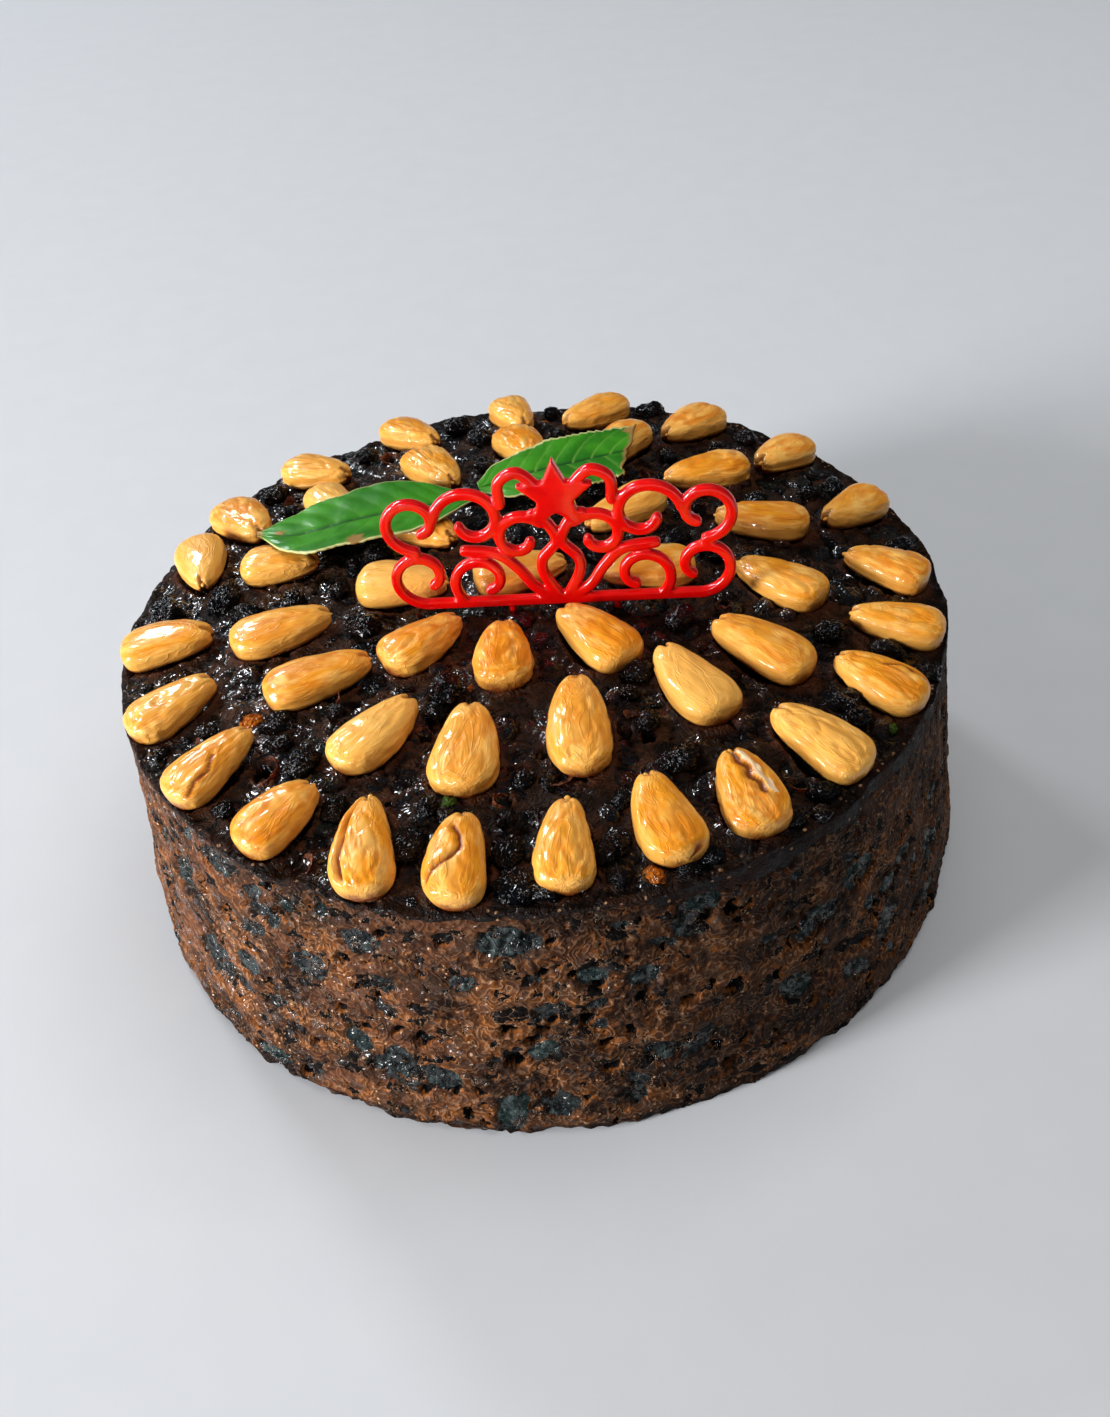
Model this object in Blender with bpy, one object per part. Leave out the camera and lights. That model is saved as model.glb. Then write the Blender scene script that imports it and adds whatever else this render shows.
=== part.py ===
"""Round dark fruit cake under rings of whole glazed almonds, with two leaves and a standing plaque.

Metres, +Z up. The cake stands on z = 0 with the middle of its base at the origin, and -Y is its front.
Places on the top are measured from the middle of the top, and angles run anticlockwise from +X.
"""

import math
import random
from dataclasses import dataclass

import bmesh
import bpy
from mathutils import Matrix, Vector, noise
from mathutils.geometry import delaunay_2d_cdt

MM = 0.001
SEED = 24
SHARP_ANGLE = math.radians(40)

# Cake
BASE_RADIUS = 105.6 * MM
TOP_RADIUS = 100.0 * MM
SIDE_HEIGHT = 62.5 * MM
TOP_SHIFT = 3.2 * MM
DOME_RISE = 7.5 * MM
DOME_POWER = 2.2
OUTLINE_WANDER = 0.9 * MM
RIM_WANDER = 0.9 * MM
SIDE_RELIEF = 0.8 * MM
OUTLINE_WAVES = 3.1
RIM_WAVES = 6.3
RELIEF_WAVES = (9.0, 6.0)
SIDE_COLUMNS = 96
SIDE_ROWS = 9
CRAG_SIZE = 7.0 * MM
CRAG_HEIGHT = 1.4 * MM
CRAG_FADE = 8
CRUST_SPACING = 4.5 * MM
CRUST_RIM_GAP = 2.5 * MM
CRUST_NUT_GAP = 2.2 * MM
CRUST_FRUIT_GAP = 0.8 * MM
CRUST_TRIES = 9000
MERGE_MM = 0.0001

# Almonds
ALMOND_THICKNESS = 8.4 * MM
ALMOND_SINK = 1.6 * MM
ALMOND_TAPER = 0.27
ALMOND_LUMP = 0.06
ALMOND_VARIETY = 9
ALMOND_SEGMENTS = 12
ALMOND_LEVELS = ((0.80, 0.60), (0.42, 0.91), (0.0, 1.0), (-0.60, 0.80))
SOCKET_RIM = 0.6 * MM
SOCKET_GAP = 0.4 * MM

# Dried fruit on the top
FRUIT_COUNT = 78
FRUIT_LONG = (7.5 * MM, 12.0 * MM)
FRUIT_SLIM = 0.66
FRUIT_HEIGHT = 0.42
FRUIT_SIDES = 6
FRUIT_RINGS = ((1.0, 0.0), (0.62, 0.8))
FRUIT_LATE_SCALE = 0.75
FRUIT_LEAST = 6.0 * MM
FRUIT_RIM_GAP = 2.0 * MM
FRUIT_NUT_GAP = 1.2 * MM
FRUIT_GAP = 0.8 * MM
FRUIT_TRIES = 6000

# Leaves
LEAF_THICKNESS = 0.5 * MM
LEAF_STATIONS = 12
LEAF_RIBS = 3
LEAF_WAVES = (9.0, 2.5)

# Plaque
PLAQUE_MIDDLE = (8.8 * MM, -11.7 * MM)
PLAQUE_TURN = math.radians(-6.3)
BAR_HEIGHT = 72.7 * MM
BAR_HALF = 31.5
STROKE = 2.6
PLAQUE_THICKNESS = 2.2
STROKE_STEP_BACK = 0.05
PIN_PLACES = (-12.5, 12.5)
PIN_DEPTH = 8.0
PIN_WIDTH = (1.8, 1.2)
PIN_START = 0.4
PIN_HOLE_WIDTH = (3.0, 2.2)
PIN_HOLE_DEPTH = 9.0
PIN_CLEARANCE = 3.4
BAR_CLEARANCE = 2.0
STAR_MIDDLE = (0.0, 28.6)
STAR_RADII = (9.4, 4.4)
STAR_THICKNESS = 2.33
SCROLL_STEP = 30

CRUST = ("dark_crust", (0.022, 0.010, 0.006), 0.32)
NUT = ("glazed_almond", (0.62, 0.30, 0.085), 0.25)
GREEN = ("leaf_green", (0.030, 0.135, 0.018), 0.30)
RED = ("red_plastic", (0.70, 0.006, 0.006), 0.18)


@dataclass
class Almond:
    """An almond on the top: where its middle is, its turn away from pointing inwards, and its size."""

    name: str
    angle: float
    reach: float
    turn: float
    length: float
    width: float

    def middle(self):
        """Place on the top, from the top's middle."""
        return Vector((math.cos(self.angle), math.sin(self.angle))) * self.reach

    def frame(self):
        """Matrix from the almond's own axes (tip along +X) to the top's, resting on the dome's slope."""
        x, y = self.middle()
        up = dome_normal(x, y)
        heading = self.angle + math.pi + self.turn
        tip = Vector((math.cos(heading), math.sin(heading), 0))
        tip = (tip - up * tip.dot(up)).normalized()
        turned = Matrix((tip, up.cross(tip), up)).transposed().to_4x4()
        lift = ALMOND_THICKNESS / 2 - ALMOND_SINK
        return Matrix.Translation(Vector((x, y, dome(x, y))) + up * lift) @ turned

    def outline(self, scale=1.0, margin=0.0):
        """Teardrop outline seen from above, as points round from the tip."""
        grow = scale + margin / (self.width / 2)
        points = []
        own = Vector((self.angle, 0, self.reach / MM)) * ALMOND_VARIETY
        for k in range(ALMOND_SEGMENTS):
            a = 2 * math.pi * k / ALMOND_SEGMENTS
            lump = 1 + ALMOND_LUMP * noise.noise(own + Vector((math.cos(a), math.sin(a), 0)))
            x = math.cos(a) * self.length / 2 * grow
            y = math.sin(a) * self.width / 2 * (1 - ALMOND_TAPER * math.cos(a)) * grow
            points.append(Vector((x * lump, y * lump, 0)))
        return points

    def covers(self, x, y, margin):
        """Whether a place on the top lies over the almond or within the margin of it."""
        away = Vector((x, y)) - self.middle()
        heading = self.angle + math.pi + self.turn
        along = away.x * math.cos(heading) + away.y * math.sin(heading)
        across = -away.x * math.sin(heading) + away.y * math.cos(heading)
        reach = (along / (self.length / 2 + margin)) ** 2 + (across / (self.width / 2 + margin)) ** 2
        return reach < 1


@dataclass
class Fruit:
    """A raisin or currant that stands out of the crust."""

    x: float
    y: float
    turn: float
    long: float


# Each almond of a ring: angle in degrees, reach in mm, turn in degrees, length and width in mm
OUTER_RING = (
    (14, 87.5, 20, 20.5, 12.9), (35, 89, 3, 20, 13.2), (55, 88.5, -14, 22.5, 14.3),
    (74, 89, -37, 22.5, 13.9), (89, 89, 17, 19.5, 12.8), (109, 88.5, 23, 22, 13.4),
    (129, 88.5, 20, 22, 13.2), (148, 88, -25, 23.5, 14.3), (161, 89, -60, 23.5, 13.9),
    (183, 88, -2, 23, 13.8), (199, 88.5, 15, 22.5, 13.7), (215, 88, 10, 24, 13.9),
    (231, 88.7, -7, 20.5, 13.6), (245, 88, 21, 24.5, 14.1), (258, 88.6, 5, 22, 13.2), (272, 86, -8, 22, 12.9),
    (286, 85, -1, 23, 13.9), (298, 87, -17, 22.5, 14.4), (312, 86.5, -2, 25, 14.1),
    (328, 88.5, -12, 22.5, 13.5), (342, 88.5, -1, 22, 12.5), (356, 87, -28, 21, 13.8),
)
MIDDLE_RING = (
    (15, 63, -28, 24, 13.1), (40, 66, -24, 24, 14.1), (64, 69.5, -5, 21.5, 13.7), (88, 66, 24, 22, 13.8),
    (111, 62, 7, 23, 13.9), (137, 67, -13, 20.5, 12.3), (162, 65, 9, 20.5, 13.5), (188, 60, 3, 25, 13.6),
    (210, 57, -15, 25.5, 13.5), (234, 61, -9, 24.5, 14.1), (254, 60, 7, 25, 15.4), (279, 55, -10, 28, 14.3),
    (308, 56, -12, 25.5, 14.2), (326, 62, -12, 26, 14.2), (350, 61, -32, 24, 13.8),
)
INNER_RING = (
    (44, 37, -7, 24, 14.0), (133, 36, 0, 22, 13.6), (176, 30, -7, 23, 15.2), (220, 33, -2, 22.5, 13.7),
    (257, 30, 9, 22, 14.1), (299, 30, 5, 25, 14.3), (355, 30, 7, 23, 13.8), (120, 2, 70, 23.5, 13.7),
)
RINGS = {"outer": OUTER_RING, "middle": MIDDLE_RING, "inner": INNER_RING}

# The largest pieces of fruit: angle in degrees, reach in mm, turn in degrees, length in mm
LARGE_FRUIT = (
    (206, 74, 40, 12), (171, 77, 70, 12), (219, 74, 10, 12), (264, 83, 20, 13), (206, 44, 60, 11),
    (337, 74, 80, 12), (152, 74, 30, 11), (63, 90, 0, 12), (279, 83, 50, 11), (318, 72, 20, 10),
    (122, 76, 50, 11), (100, 90, 20, 10),
)


def dome(x, y):
    """Height of the smooth top at a place measured from its middle."""
    out = min(math.hypot(x, y) / TOP_RADIUS, 1)
    return SIDE_HEIGHT + DOME_RISE * (1 - out**DOME_POWER)


def dome_normal(x, y):
    """Direction straight out of the smooth top."""
    step = 0.5 * MM
    rise_x = (dome(x + step, y) - dome(x - step, y)) / (2 * step)
    rise_y = (dome(x, y + step) - dome(x, y - step)) / (2 * step)
    return Vector((-rise_x, -rise_y, 1)).normalized()


def crust(x, y):
    """Height of the craggy top, flatter towards the rim."""
    out = math.hypot(x, y) / TOP_RADIUS
    fade = max(0, 1 - out**CRAG_FADE)
    return dome(x, y) + fade * CRAG_HEIGHT * noise.noise(Vector((x, y, 0)) / CRAG_SIZE)


def side_point(angle, part):
    """A place on the side, at a part of the height from 0 at the base to 1 at the rim."""
    around = Vector((math.cos(angle), math.sin(angle), 0))
    radius = BASE_RADIUS + (TOP_RADIUS - BASE_RADIUS) * part
    radius += OUTLINE_WANDER * noise.noise(around * OUTLINE_WAVES)
    height = (SIDE_HEIGHT + RIM_WANDER * noise.noise(around * RIM_WAVES)) * part
    waves, layers = RELIEF_WAVES
    radius += SIDE_RELIEF * noise.noise(around * waves + Vector((0, 0, part * layers)))
    return Vector((around.x * radius, around.y * radius + TOP_SHIFT * part, height))


def almonds():
    """Every almond, ring by ring."""
    found = []
    for ring, nuts in RINGS.items():
        for k, (angle, reach, turn, length, width) in enumerate(nuts, 1):
            place = (math.radians(angle), reach * MM, math.radians(turn))
            found.append(Almond(f"almond_{ring}_{k:02d}", *place, length * MM, width * MM))
    return found


def near_bar(x, y, margin):
    """Whether a place on the top lies under the plaque's bar or within the margin of it."""
    away = Vector((x, y)) - Vector(PLAQUE_MIDDLE)
    along = away.x * math.cos(PLAQUE_TURN) + away.y * math.sin(PLAQUE_TURN)
    across = -away.x * math.sin(PLAQUE_TURN) + away.y * math.cos(PLAQUE_TURN)
    return abs(across) < margin + BAR_CLEARANCE * MM and abs(along) < margin + BAR_HALF * MM


def random_place(rng):
    """A place anywhere on the top, all parts of it equally likely."""
    out = TOP_RADIUS * math.sqrt(rng.random())
    angle = rng.uniform(0, 2 * math.pi)
    return out * math.cos(angle), out * math.sin(angle)


def fruits(nuts, rng):
    """Fruit for the bare crust: the largest pieces, then others wherever there is room."""
    found = []

    def has_room(x, y, radius):
        if math.hypot(x, y) > TOP_RADIUS - radius - FRUIT_RIM_GAP or near_bar(x, y, radius):
            return False
        if any(nut.covers(x, y, radius + FRUIT_NUT_GAP) for nut in nuts):
            return False
        return all(math.hypot(x - f.x, y - f.y) > radius + f.long / 2 + FRUIT_GAP for f in found)

    for angle, reach, turn, long in LARGE_FRUIT:
        x = reach * MM * math.cos(math.radians(angle))
        y = reach * MM * math.sin(math.radians(angle))
        size = long * MM
        while size > FRUIT_LEAST and not has_room(x, y, size / 2):
            size -= MM
        if has_room(x, y, size / 2):
            found.append(Fruit(x, y, math.radians(turn), size))
    for _ in range(FRUIT_TRIES):
        if len(found) == FRUIT_COUNT:
            break
        long = rng.uniform(*FRUIT_LONG) * (FRUIT_LATE_SCALE if len(found) > FRUIT_COUNT / 2 else 1)
        x, y = random_place(rng)
        if has_room(x, y, long / 2):
            found.append(Fruit(x, y, rng.uniform(0, math.pi), long))
    return found


def on_plaque_line(along, across=0.0):
    """Place on the top of a point of the plaque's footprint, whose measures are in mm."""
    here = Matrix.Rotation(PLAQUE_TURN, 2) @ Vector((along * MM, across * MM))
    return here + Vector(PLAQUE_MIDDLE)


class TopPatch:
    """Points and fixed edges of the cake's top, later joined into triangles."""

    def __init__(self):
        self.points = []
        self.edges = []

    def add_loop(self, points, middle=None):
        """A closed loop whose edges are kept, with spokes to a point in its middle if there is one."""
        first = len(self.points)
        self.points.extend(points)
        loop = range(first, len(self.points))
        self.edges.extend((a, loop[(k + 1) % len(loop)]) for k, a in enumerate(loop))
        if middle is not None:
            self.edges.extend((a, len(self.points)) for a in loop)
            self.points.append(middle)


def add_socket(patch, nut):
    """The shallow bed that an almond lies in, a little larger than its underside."""
    frame = nut.frame()
    level, scale = ALMOND_LEVELS[-1]
    half = ALMOND_THICKNESS / 2
    edge = [frame @ (p + Vector((0, 0, level * half - SOCKET_GAP))) for p in nut.outline(scale, SOCKET_RIM)]
    patch.add_loop(edge, frame @ Vector((0, 0, -half - SOCKET_GAP)))


def add_fruit(patch, fruit, rng):
    """A wrinkled lump: a ring on the crust, a ring higher up and a top point."""
    turned = Matrix.Rotation(fruit.turn, 2)
    height = FRUIT_HEIGHT * fruit.long * rng.uniform(0.9, 1.05)
    top = Vector((fruit.x, fruit.y, crust(fruit.x, fruit.y) + height))
    for (scale, rise), middle in zip(FRUIT_RINGS, (None, top)):
        ring = []
        for k in range(FRUIT_SIDES):
            a = 2 * math.pi * k / FRUIT_SIDES
            lump = scale * rng.uniform(0.88, 1.0)
            local = Vector((math.cos(a), math.sin(a) * FRUIT_SLIM)) * fruit.long / 2 * lump
            x, y = turned @ local + Vector((fruit.x, fruit.y))
            raised = rise * FRUIT_HEIGHT * fruit.long * rng.uniform(0.8, 1.0)
            ring.append(Vector((x, y, crust(x, y) + raised)))
        patch.add_loop(ring, middle)


def add_pin_hole(patch, along):
    """A narrow hole in the crust for one of the plaque's pins."""
    for width, depth in zip(PIN_HOLE_WIDTH, (0, PIN_HOLE_DEPTH * MM)):
        ring = []
        for k in range(4):
            a = math.pi / 4 + math.pi / 2 * k
            reach = width / math.sqrt(2)
            x, y = on_plaque_line(along + reach * math.cos(a), reach * math.sin(a))
            ring.append(Vector((x, y, dome(x, y) - depth)))
        patch.add_loop(ring)


def add_bare_crust(patch, nuts, lumps, rng):
    """Scattered points of the crust between everything else."""
    placed = []
    pins = [on_plaque_line(along) for along in PIN_PLACES]
    for _ in range(CRUST_TRIES):
        x, y = random_place(rng)
        if math.hypot(x, y) > TOP_RADIUS - CRUST_RIM_GAP:
            continue
        if any(nut.covers(x, y, CRUST_NUT_GAP) for nut in nuts):
            continue
        if any(math.hypot(x - f.x, y - f.y) < f.long / 2 + CRUST_FRUIT_GAP for f in lumps):
            continue
        if any(math.hypot(x - p.x, y - p.y) < PIN_CLEARANCE * MM for p in pins):
            continue
        if all(math.hypot(x - q[0], y - q[1]) > CRUST_SPACING for q in placed):
            placed.append((x, y))
            patch.points.append(Vector((x, y, crust(x, y))))


def build_cake(nuts):
    """The cake: a flat base, an uneven side and a domed craggy top with fruit, beds and pin holes."""
    rng = random.Random(SEED)
    lumps = fruits(nuts, rng)
    mesh = bmesh.new()
    rows = []
    for j in range(SIDE_ROWS + 1):
        ring = [side_point(2 * math.pi * k / SIDE_COLUMNS, j / SIDE_ROWS) for k in range(SIDE_COLUMNS)]
        rows.append([mesh.verts.new(p) for p in ring])
    for low, high in zip(rows, rows[1:]):
        for k in range(SIDE_COLUMNS):
            n = (k + 1) % SIDE_COLUMNS
            mesh.faces.new((low[k], low[n], high[n], high[k]))
    mesh.faces.new(reversed(rows[0]))

    shift = Vector((0, TOP_SHIFT, 0))
    patch = TopPatch()
    patch.add_loop([v.co - shift for v in rows[-1]])
    for nut in nuts:
        add_socket(patch, nut)
    for lump in lumps:
        add_fruit(patch, lump, rng)
    for along in PIN_PLACES:
        add_pin_hole(patch, along)
    add_bare_crust(patch, nuts, lumps, rng)
    flat = [(p / MM).to_2d() for p in patch.points]
    _, _, triangles, sources, _, _ = delaunay_2d_cdt(flat, patch.edges, [], 1, MERGE_MM)
    verts = list(rows[-1])
    verts += [mesh.verts.new(p + shift) for p in patch.points[SIDE_COLUMNS:]]
    for triangle in triangles:
        mesh.faces.new([verts[sources[v][0]] for v in triangle])
    return finished_object("cake", mesh, CRUST)


def build_almond(nut):
    """A whole almond: rings round its height, closed by a point above and a point below."""
    mesh = bmesh.new()
    half = ALMOND_THICKNESS / 2
    rings = []
    for level, scale in ALMOND_LEVELS:
        rings.append([mesh.verts.new(p + Vector((0, 0, level * half))) for p in nut.outline(scale)])
    for high, low in zip(rings, rings[1:]):
        for k in range(ALMOND_SEGMENTS):
            n = (k + 1) % ALMOND_SEGMENTS
            mesh.faces.new((high[k], low[k], low[n], high[n]))
    above = mesh.verts.new((0, 0, half))
    below = mesh.verts.new((0, 0, -half))
    for k in range(ALMOND_SEGMENTS):
        n = (k + 1) % ALMOND_SEGMENTS
        mesh.faces.new((above, rings[0][k], rings[0][n]))
        mesh.faces.new((below, rings[-1][n], rings[-1][k]))
    obj = finished_object(nut.name, mesh, NUT)
    obj.matrix_world = Matrix.Translation((0, TOP_SHIFT, 0)) @ nut.frame()
    return obj


@dataclass
class Leaf:
    """A thin wavy leaf: its two ends, how wide it is along its length, and how it bends, rises and ripples."""

    name: str
    base: tuple
    tip: tuple
    widths: tuple
    bow: float
    slant: float
    fold: float
    tilt: float
    ripple: float
    arch: float

    def width_at(self, part):
        """Half width between the stations that the widths give."""
        place = part * (len(self.widths) - 1)
        k = min(int(place), len(self.widths) - 2)
        return (self.widths[k] + (self.widths[k + 1] - self.widths[k]) * (place - k)) * MM

    def point(self, part, side):
        """A place on the upper face; side runs from -1 to 1 across the leaf."""
        base = Vector(self.base) * MM
        tip = Vector(self.tip) * MM
        along = tip - base
        across = Vector((-along.y, along.x, 0)).normalized()
        offset = side * self.width_at(part)
        spot = base + along * part + across * (offset + self.bow * MM * math.sin(math.pi * part**3))
        spot += along.normalized() * offset * self.slant * part**3
        spot.z += self.arch * MM * math.sin(math.pi * part)
        spot.z += abs(offset) * self.fold + offset * self.tilt
        along_waves, across_waves = LEAF_WAVES
        spot.z += self.ripple * MM * abs(side) ** 1.5 * math.sin(along_waves * part + across_waves * side)
        return spot


LEAVES = (
    Leaf(
        "leaf_left", (-11, 31.5, 76.3), (-67.8, 29.7, 74.0), (1.2, 7, 11.5, 13.6, 13.8, 13.4, 12.4, 8.0, 0.6),
        bow=4.0, slant=0.0, fold=0.06, tilt=0.05, ripple=0.7, arch=0.9,
    ),
    Leaf(
        "leaf_right", (-10, 41, 73.5), (31, 50.3, 74.4), (2.0, 8, 10.5, 12, 12.6, 12.8, 12.8, 12.6, 12.0),
        bow=0.0, slant=0.5, fold=0.05, tilt=-0.03, ripple=0.7, arch=0.8,
    ),
)


def build_leaf(leaf):
    """Both faces of the leaf, split into triangles alike, and the thin edge between them."""
    mesh = bmesh.new()
    faces = []
    for drop in (0, LEAF_THICKNESS):
        grid = []
        for i in range(LEAF_STATIONS + 1):
            row = [leaf.point(i / LEAF_STATIONS, j / LEAF_RIBS) for j in range(-LEAF_RIBS, LEAF_RIBS + 1)]
            grid.append([mesh.verts.new(p - Vector((0, 0, drop))) for p in row])
        faces.append(grid)
    across = 2 * LEAF_RIBS
    for i in range(LEAF_STATIONS):
        for j in range(across):
            for grid, flip in zip(faces, (1, -1)):
                a, b, c, d = grid[i][j], grid[i + 1][j], grid[i + 1][j + 1], grid[i][j + 1]
                mesh.faces.new((a, b, c)[::flip])
                mesh.faces.new((a, c, d)[::flip])
    upper, lower = faces
    edge = [(i, 0) for i in range(LEAF_STATIONS)]
    edge += [(LEAF_STATIONS, j) for j in range(across)]
    edge += [(i, across) for i in range(LEAF_STATIONS, 0, -1)]
    edge += [(0, j) for j in range(across, 0, -1)]
    for (i, j), (m, n) in zip(edge, edge[1:] + edge[:1]):
        mesh.faces.new((upper[i][j], lower[i][j], lower[m][n], upper[m][n]))
    obj = finished_object(leaf.name, mesh, GREEN)
    obj.location.y = TOP_SHIFT
    return obj


def scroll(middle, radii, turn):
    """A spiral stroke: its middle, its first and last radius, and its first and last angle in degrees."""
    count = round(abs(turn[1] - turn[0]) / SCROLL_STEP) + 1
    points = []
    for k in range(count):
        part = k / (count - 1)
        a = math.radians(turn[0] + (turn[1] - turn[0]) * part)
        radius = radii[0] + (radii[1] - radii[0]) * part
        points.append((middle[0] + radius * math.cos(a), middle[1] + radius * math.sin(a)))
    return points


def flowing(points, steps=3):
    """A smooth stroke through a few points."""
    found = []
    for k in range(len(points) - 1):
        before = points[max(k - 1, 0)]
        after = points[min(k + 2, len(points) - 1)]
        for s in range(steps):
            t = s / steps
            spot = []
            for a, b, c, d in zip(before, points[k], points[k + 1], after):
                bend = 2 * a - 5 * b + 4 * c - d
                twist = 3 * b - a - 3 * c + d
                spot.append(b + (c - a) * t / 2 + bend * t**2 / 2 + twist * t**3 / 2)
            found.append(tuple(spot))
    return found + [points[-1]]


# Strokes of the plaque's left half, in mm from the middle of its bar
HALF_STROKES = (
    scroll((-32.6, 7.8), (8.0, 3.2), (-80, -405)),
    scroll((-33.0, 22.6), (7.6, 3.2), (-95, -420)),
    scroll((-19.8, 22.6), (8.6, 3.2), (172, -150)),
    scroll((-18.6, 6.0), (7.4, 3.0), (226, -60)),
    scroll((-9.0, 17.4), (6.4, 2.6), (40, 330)),
    flowing(((-22.0, 14.6), (-14.6, 13.4), (-10.0, 9.0), (-6.4, 3.6), (-1.0, 0.4))),
    flowing(((-12.6, 27.0), (-12.4, 32.4), (-8.0, 34.6), (-3.6, 30.4))),
    flowing(((-0.6, 0.4), (-3.9, 6.6), (-4.2, 11.4), (-0.6, 16.4), (-2.6, 21.6), (-5.4, 23.6))),
)


def ribbon(points, thickness):
    """A closed bar of one stroke: its width in the plaque's plane, its thickness along Y."""
    mesh = bmesh.new()
    stations = []
    for k, (x, z) in enumerate(points):
        ahead = points[min(k + 1, len(points) - 1)]
        behind = points[max(k - 1, 0)]
        along = Vector((ahead[0] - behind[0], ahead[1] - behind[1])).normalized()
        side = Vector((-along.y, along.x)) * STROKE / 2
        corners = []
        for sign, depth in ((1, -0.5), (-1, -0.5), (-1, 0.5), (1, 0.5)):
            spot = Vector((x + sign * side.x, depth * thickness, z + sign * side.y))
            corners.append(mesh.verts.new(spot * MM))
        stations.append(corners)
    for low, high in zip(stations, stations[1:]):
        for c in range(4):
            n = (c + 1) % 4
            mesh.faces.new((low[c], low[n], high[n], high[c]))
    mesh.faces.new(stations[0][::-1])
    mesh.faces.new(stations[-1])
    bmesh.ops.recalc_face_normals(mesh, faces=mesh.faces)
    return mesh


def star():
    """The five-pointed star at the middle of the plaque."""
    mesh = bmesh.new()
    faces = []
    for depth in (-0.5, 0.5):
        ring = []
        for k in range(10):
            a = math.pi * k / 5
            radius = STAR_RADII[k % 2]
            x = STAR_MIDDLE[0] + radius * math.sin(a)
            z = STAR_MIDDLE[1] + radius * math.cos(a)
            ring.append(mesh.verts.new(Vector((x, depth * STAR_THICKNESS, z)) * MM))
        faces.append(ring)
    front, back = faces
    for k in range(10):
        n = (k + 1) % 10
        mesh.faces.new((front[k], front[n], back[n], back[k]))
    for ring in faces:
        mesh.faces.new(ring)
    bmesh.ops.recalc_face_normals(mesh, faces=mesh.faces)
    return mesh


def pin(along):
    """A short tapered pin below the bar."""
    mesh = bmesh.new()
    rings = []
    point = (dome(*PLAQUE_MIDDLE) - BAR_HEIGHT) / MM - PIN_DEPTH
    for width, height in zip(PIN_WIDTH, (PIN_START, point)):
        ring = []
        for x, y in ((-1, -1), (1, -1), (1, 1), (-1, 1)):
            ring.append(mesh.verts.new(Vector((along + x * width / 2, y * width / 2, height)) * MM))
        rings.append(ring)
    for k in range(4):
        n = (k + 1) % 4
        mesh.faces.new((rings[0][k], rings[0][n], rings[1][n], rings[1][k]))
    for ring in rings:
        mesh.faces.new(ring)
    bmesh.ops.recalc_face_normals(mesh, faces=mesh.faces)
    return mesh


def build_plaque():
    """The standing plaque: bar, mirrored scrolls, star and pins in one moulding."""
    shapes = []
    for k, points in enumerate(HALF_STROKES, 1):
        thickness = PLAQUE_THICKNESS - STROKE_STEP_BACK * k
        shapes.append(ribbon(points, thickness))
        shapes.append(ribbon([(-x, z) for x, z in points], thickness - STROKE_STEP_BACK / 2))
    shapes.append(star())
    shapes.extend(pin(along) for along in PIN_PLACES)

    bar = finished_object("plaque", ribbon([(-BAR_HALF - 1, 0), (BAR_HALF + 1, 0)], PLAQUE_THICKNESS), RED)
    pieces = bpy.data.collections.new("plaque_pieces")
    bpy.context.scene.collection.children.link(pieces)
    for k, shape in enumerate(shapes):
        piece = finished_object(f"plaque_piece_{k:02d}", shape, RED)
        bpy.context.scene.collection.objects.unlink(piece)
        pieces.objects.link(piece)
    join = bar.modifiers.new("join", "BOOLEAN")
    join.operation = "UNION"
    join.solver = "EXACT"
    join.use_self = True
    join.operand_type = "COLLECTION"
    join.collection = pieces
    bpy.context.view_layer.update()
    joined = bpy.data.meshes.new_from_object(bar.evaluated_get(bpy.context.evaluated_depsgraph_get()))
    joined.set_sharp_from_angle(angle=SHARP_ANGLE)
    bar.modifiers.clear()
    bar.data = joined
    for piece in list(pieces.objects):
        bpy.data.objects.remove(piece)
    bpy.data.collections.remove(pieces)
    x, y = PLAQUE_MIDDLE
    bar.location = (x, y + TOP_SHIFT, BAR_HEIGHT)
    bar.rotation_euler.z = PLAQUE_TURN
    return bar


def material(name, colour, roughness):
    """A plain finish, made once for each name."""
    found = bpy.data.materials.get(name)
    if found is None:
        found = bpy.data.materials.new(name)
        found.use_nodes = True
        shader = found.node_tree.nodes["Principled BSDF"]
        shader.inputs["Base Color"].default_value = (*colour, 1)
        shader.inputs["Roughness"].default_value = roughness
        shader.inputs["Metallic"].default_value = 0
    return found


def finished_object(name, mesh, finish):
    """Turns a bmesh into a smoothly shaded object of the scene with its finish."""
    data = bpy.data.meshes.new(name)
    mesh.to_mesh(data)
    mesh.free()
    data.shade_smooth()
    data.set_sharp_from_angle(angle=SHARP_ANGLE)
    data.materials.append(material(*finish))
    obj = bpy.data.objects.new(name, data)
    bpy.context.scene.collection.objects.link(obj)
    return obj


def stand_on_origin(objects):
    """Moves everything sideways so that the middle of the cake's box is over the origin."""
    cake = objects[0]
    across = [[v.co[axis] for v in cake.data.vertices] for axis in range(2)]
    middle = [(min(values) + max(values)) / 2 for values in across]
    for obj in objects:
        obj.location.x -= middle[0]
        obj.location.y -= middle[1]


def main():
    """Builds the whole cake in an empty scene."""
    for obj in list(bpy.data.objects):
        bpy.data.objects.remove(obj)
    nuts = almonds()
    objects = [build_cake(nuts)]
    objects += [build_almond(nut) for nut in nuts]
    objects += [build_leaf(leaf) for leaf in LEAVES]
    objects.append(build_plaque())
    stand_on_origin(objects)


main()
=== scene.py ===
"""The looks of a dark fruit cake: craggy glazed crust, raisins, glazed almonds, two leaves and a red plaque.

Metres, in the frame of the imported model: +Z up, -Y to the front, the cake's base on z = 0.
"""

import logging
import math
import random
from dataclasses import dataclass, field
from enum import Enum

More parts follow.
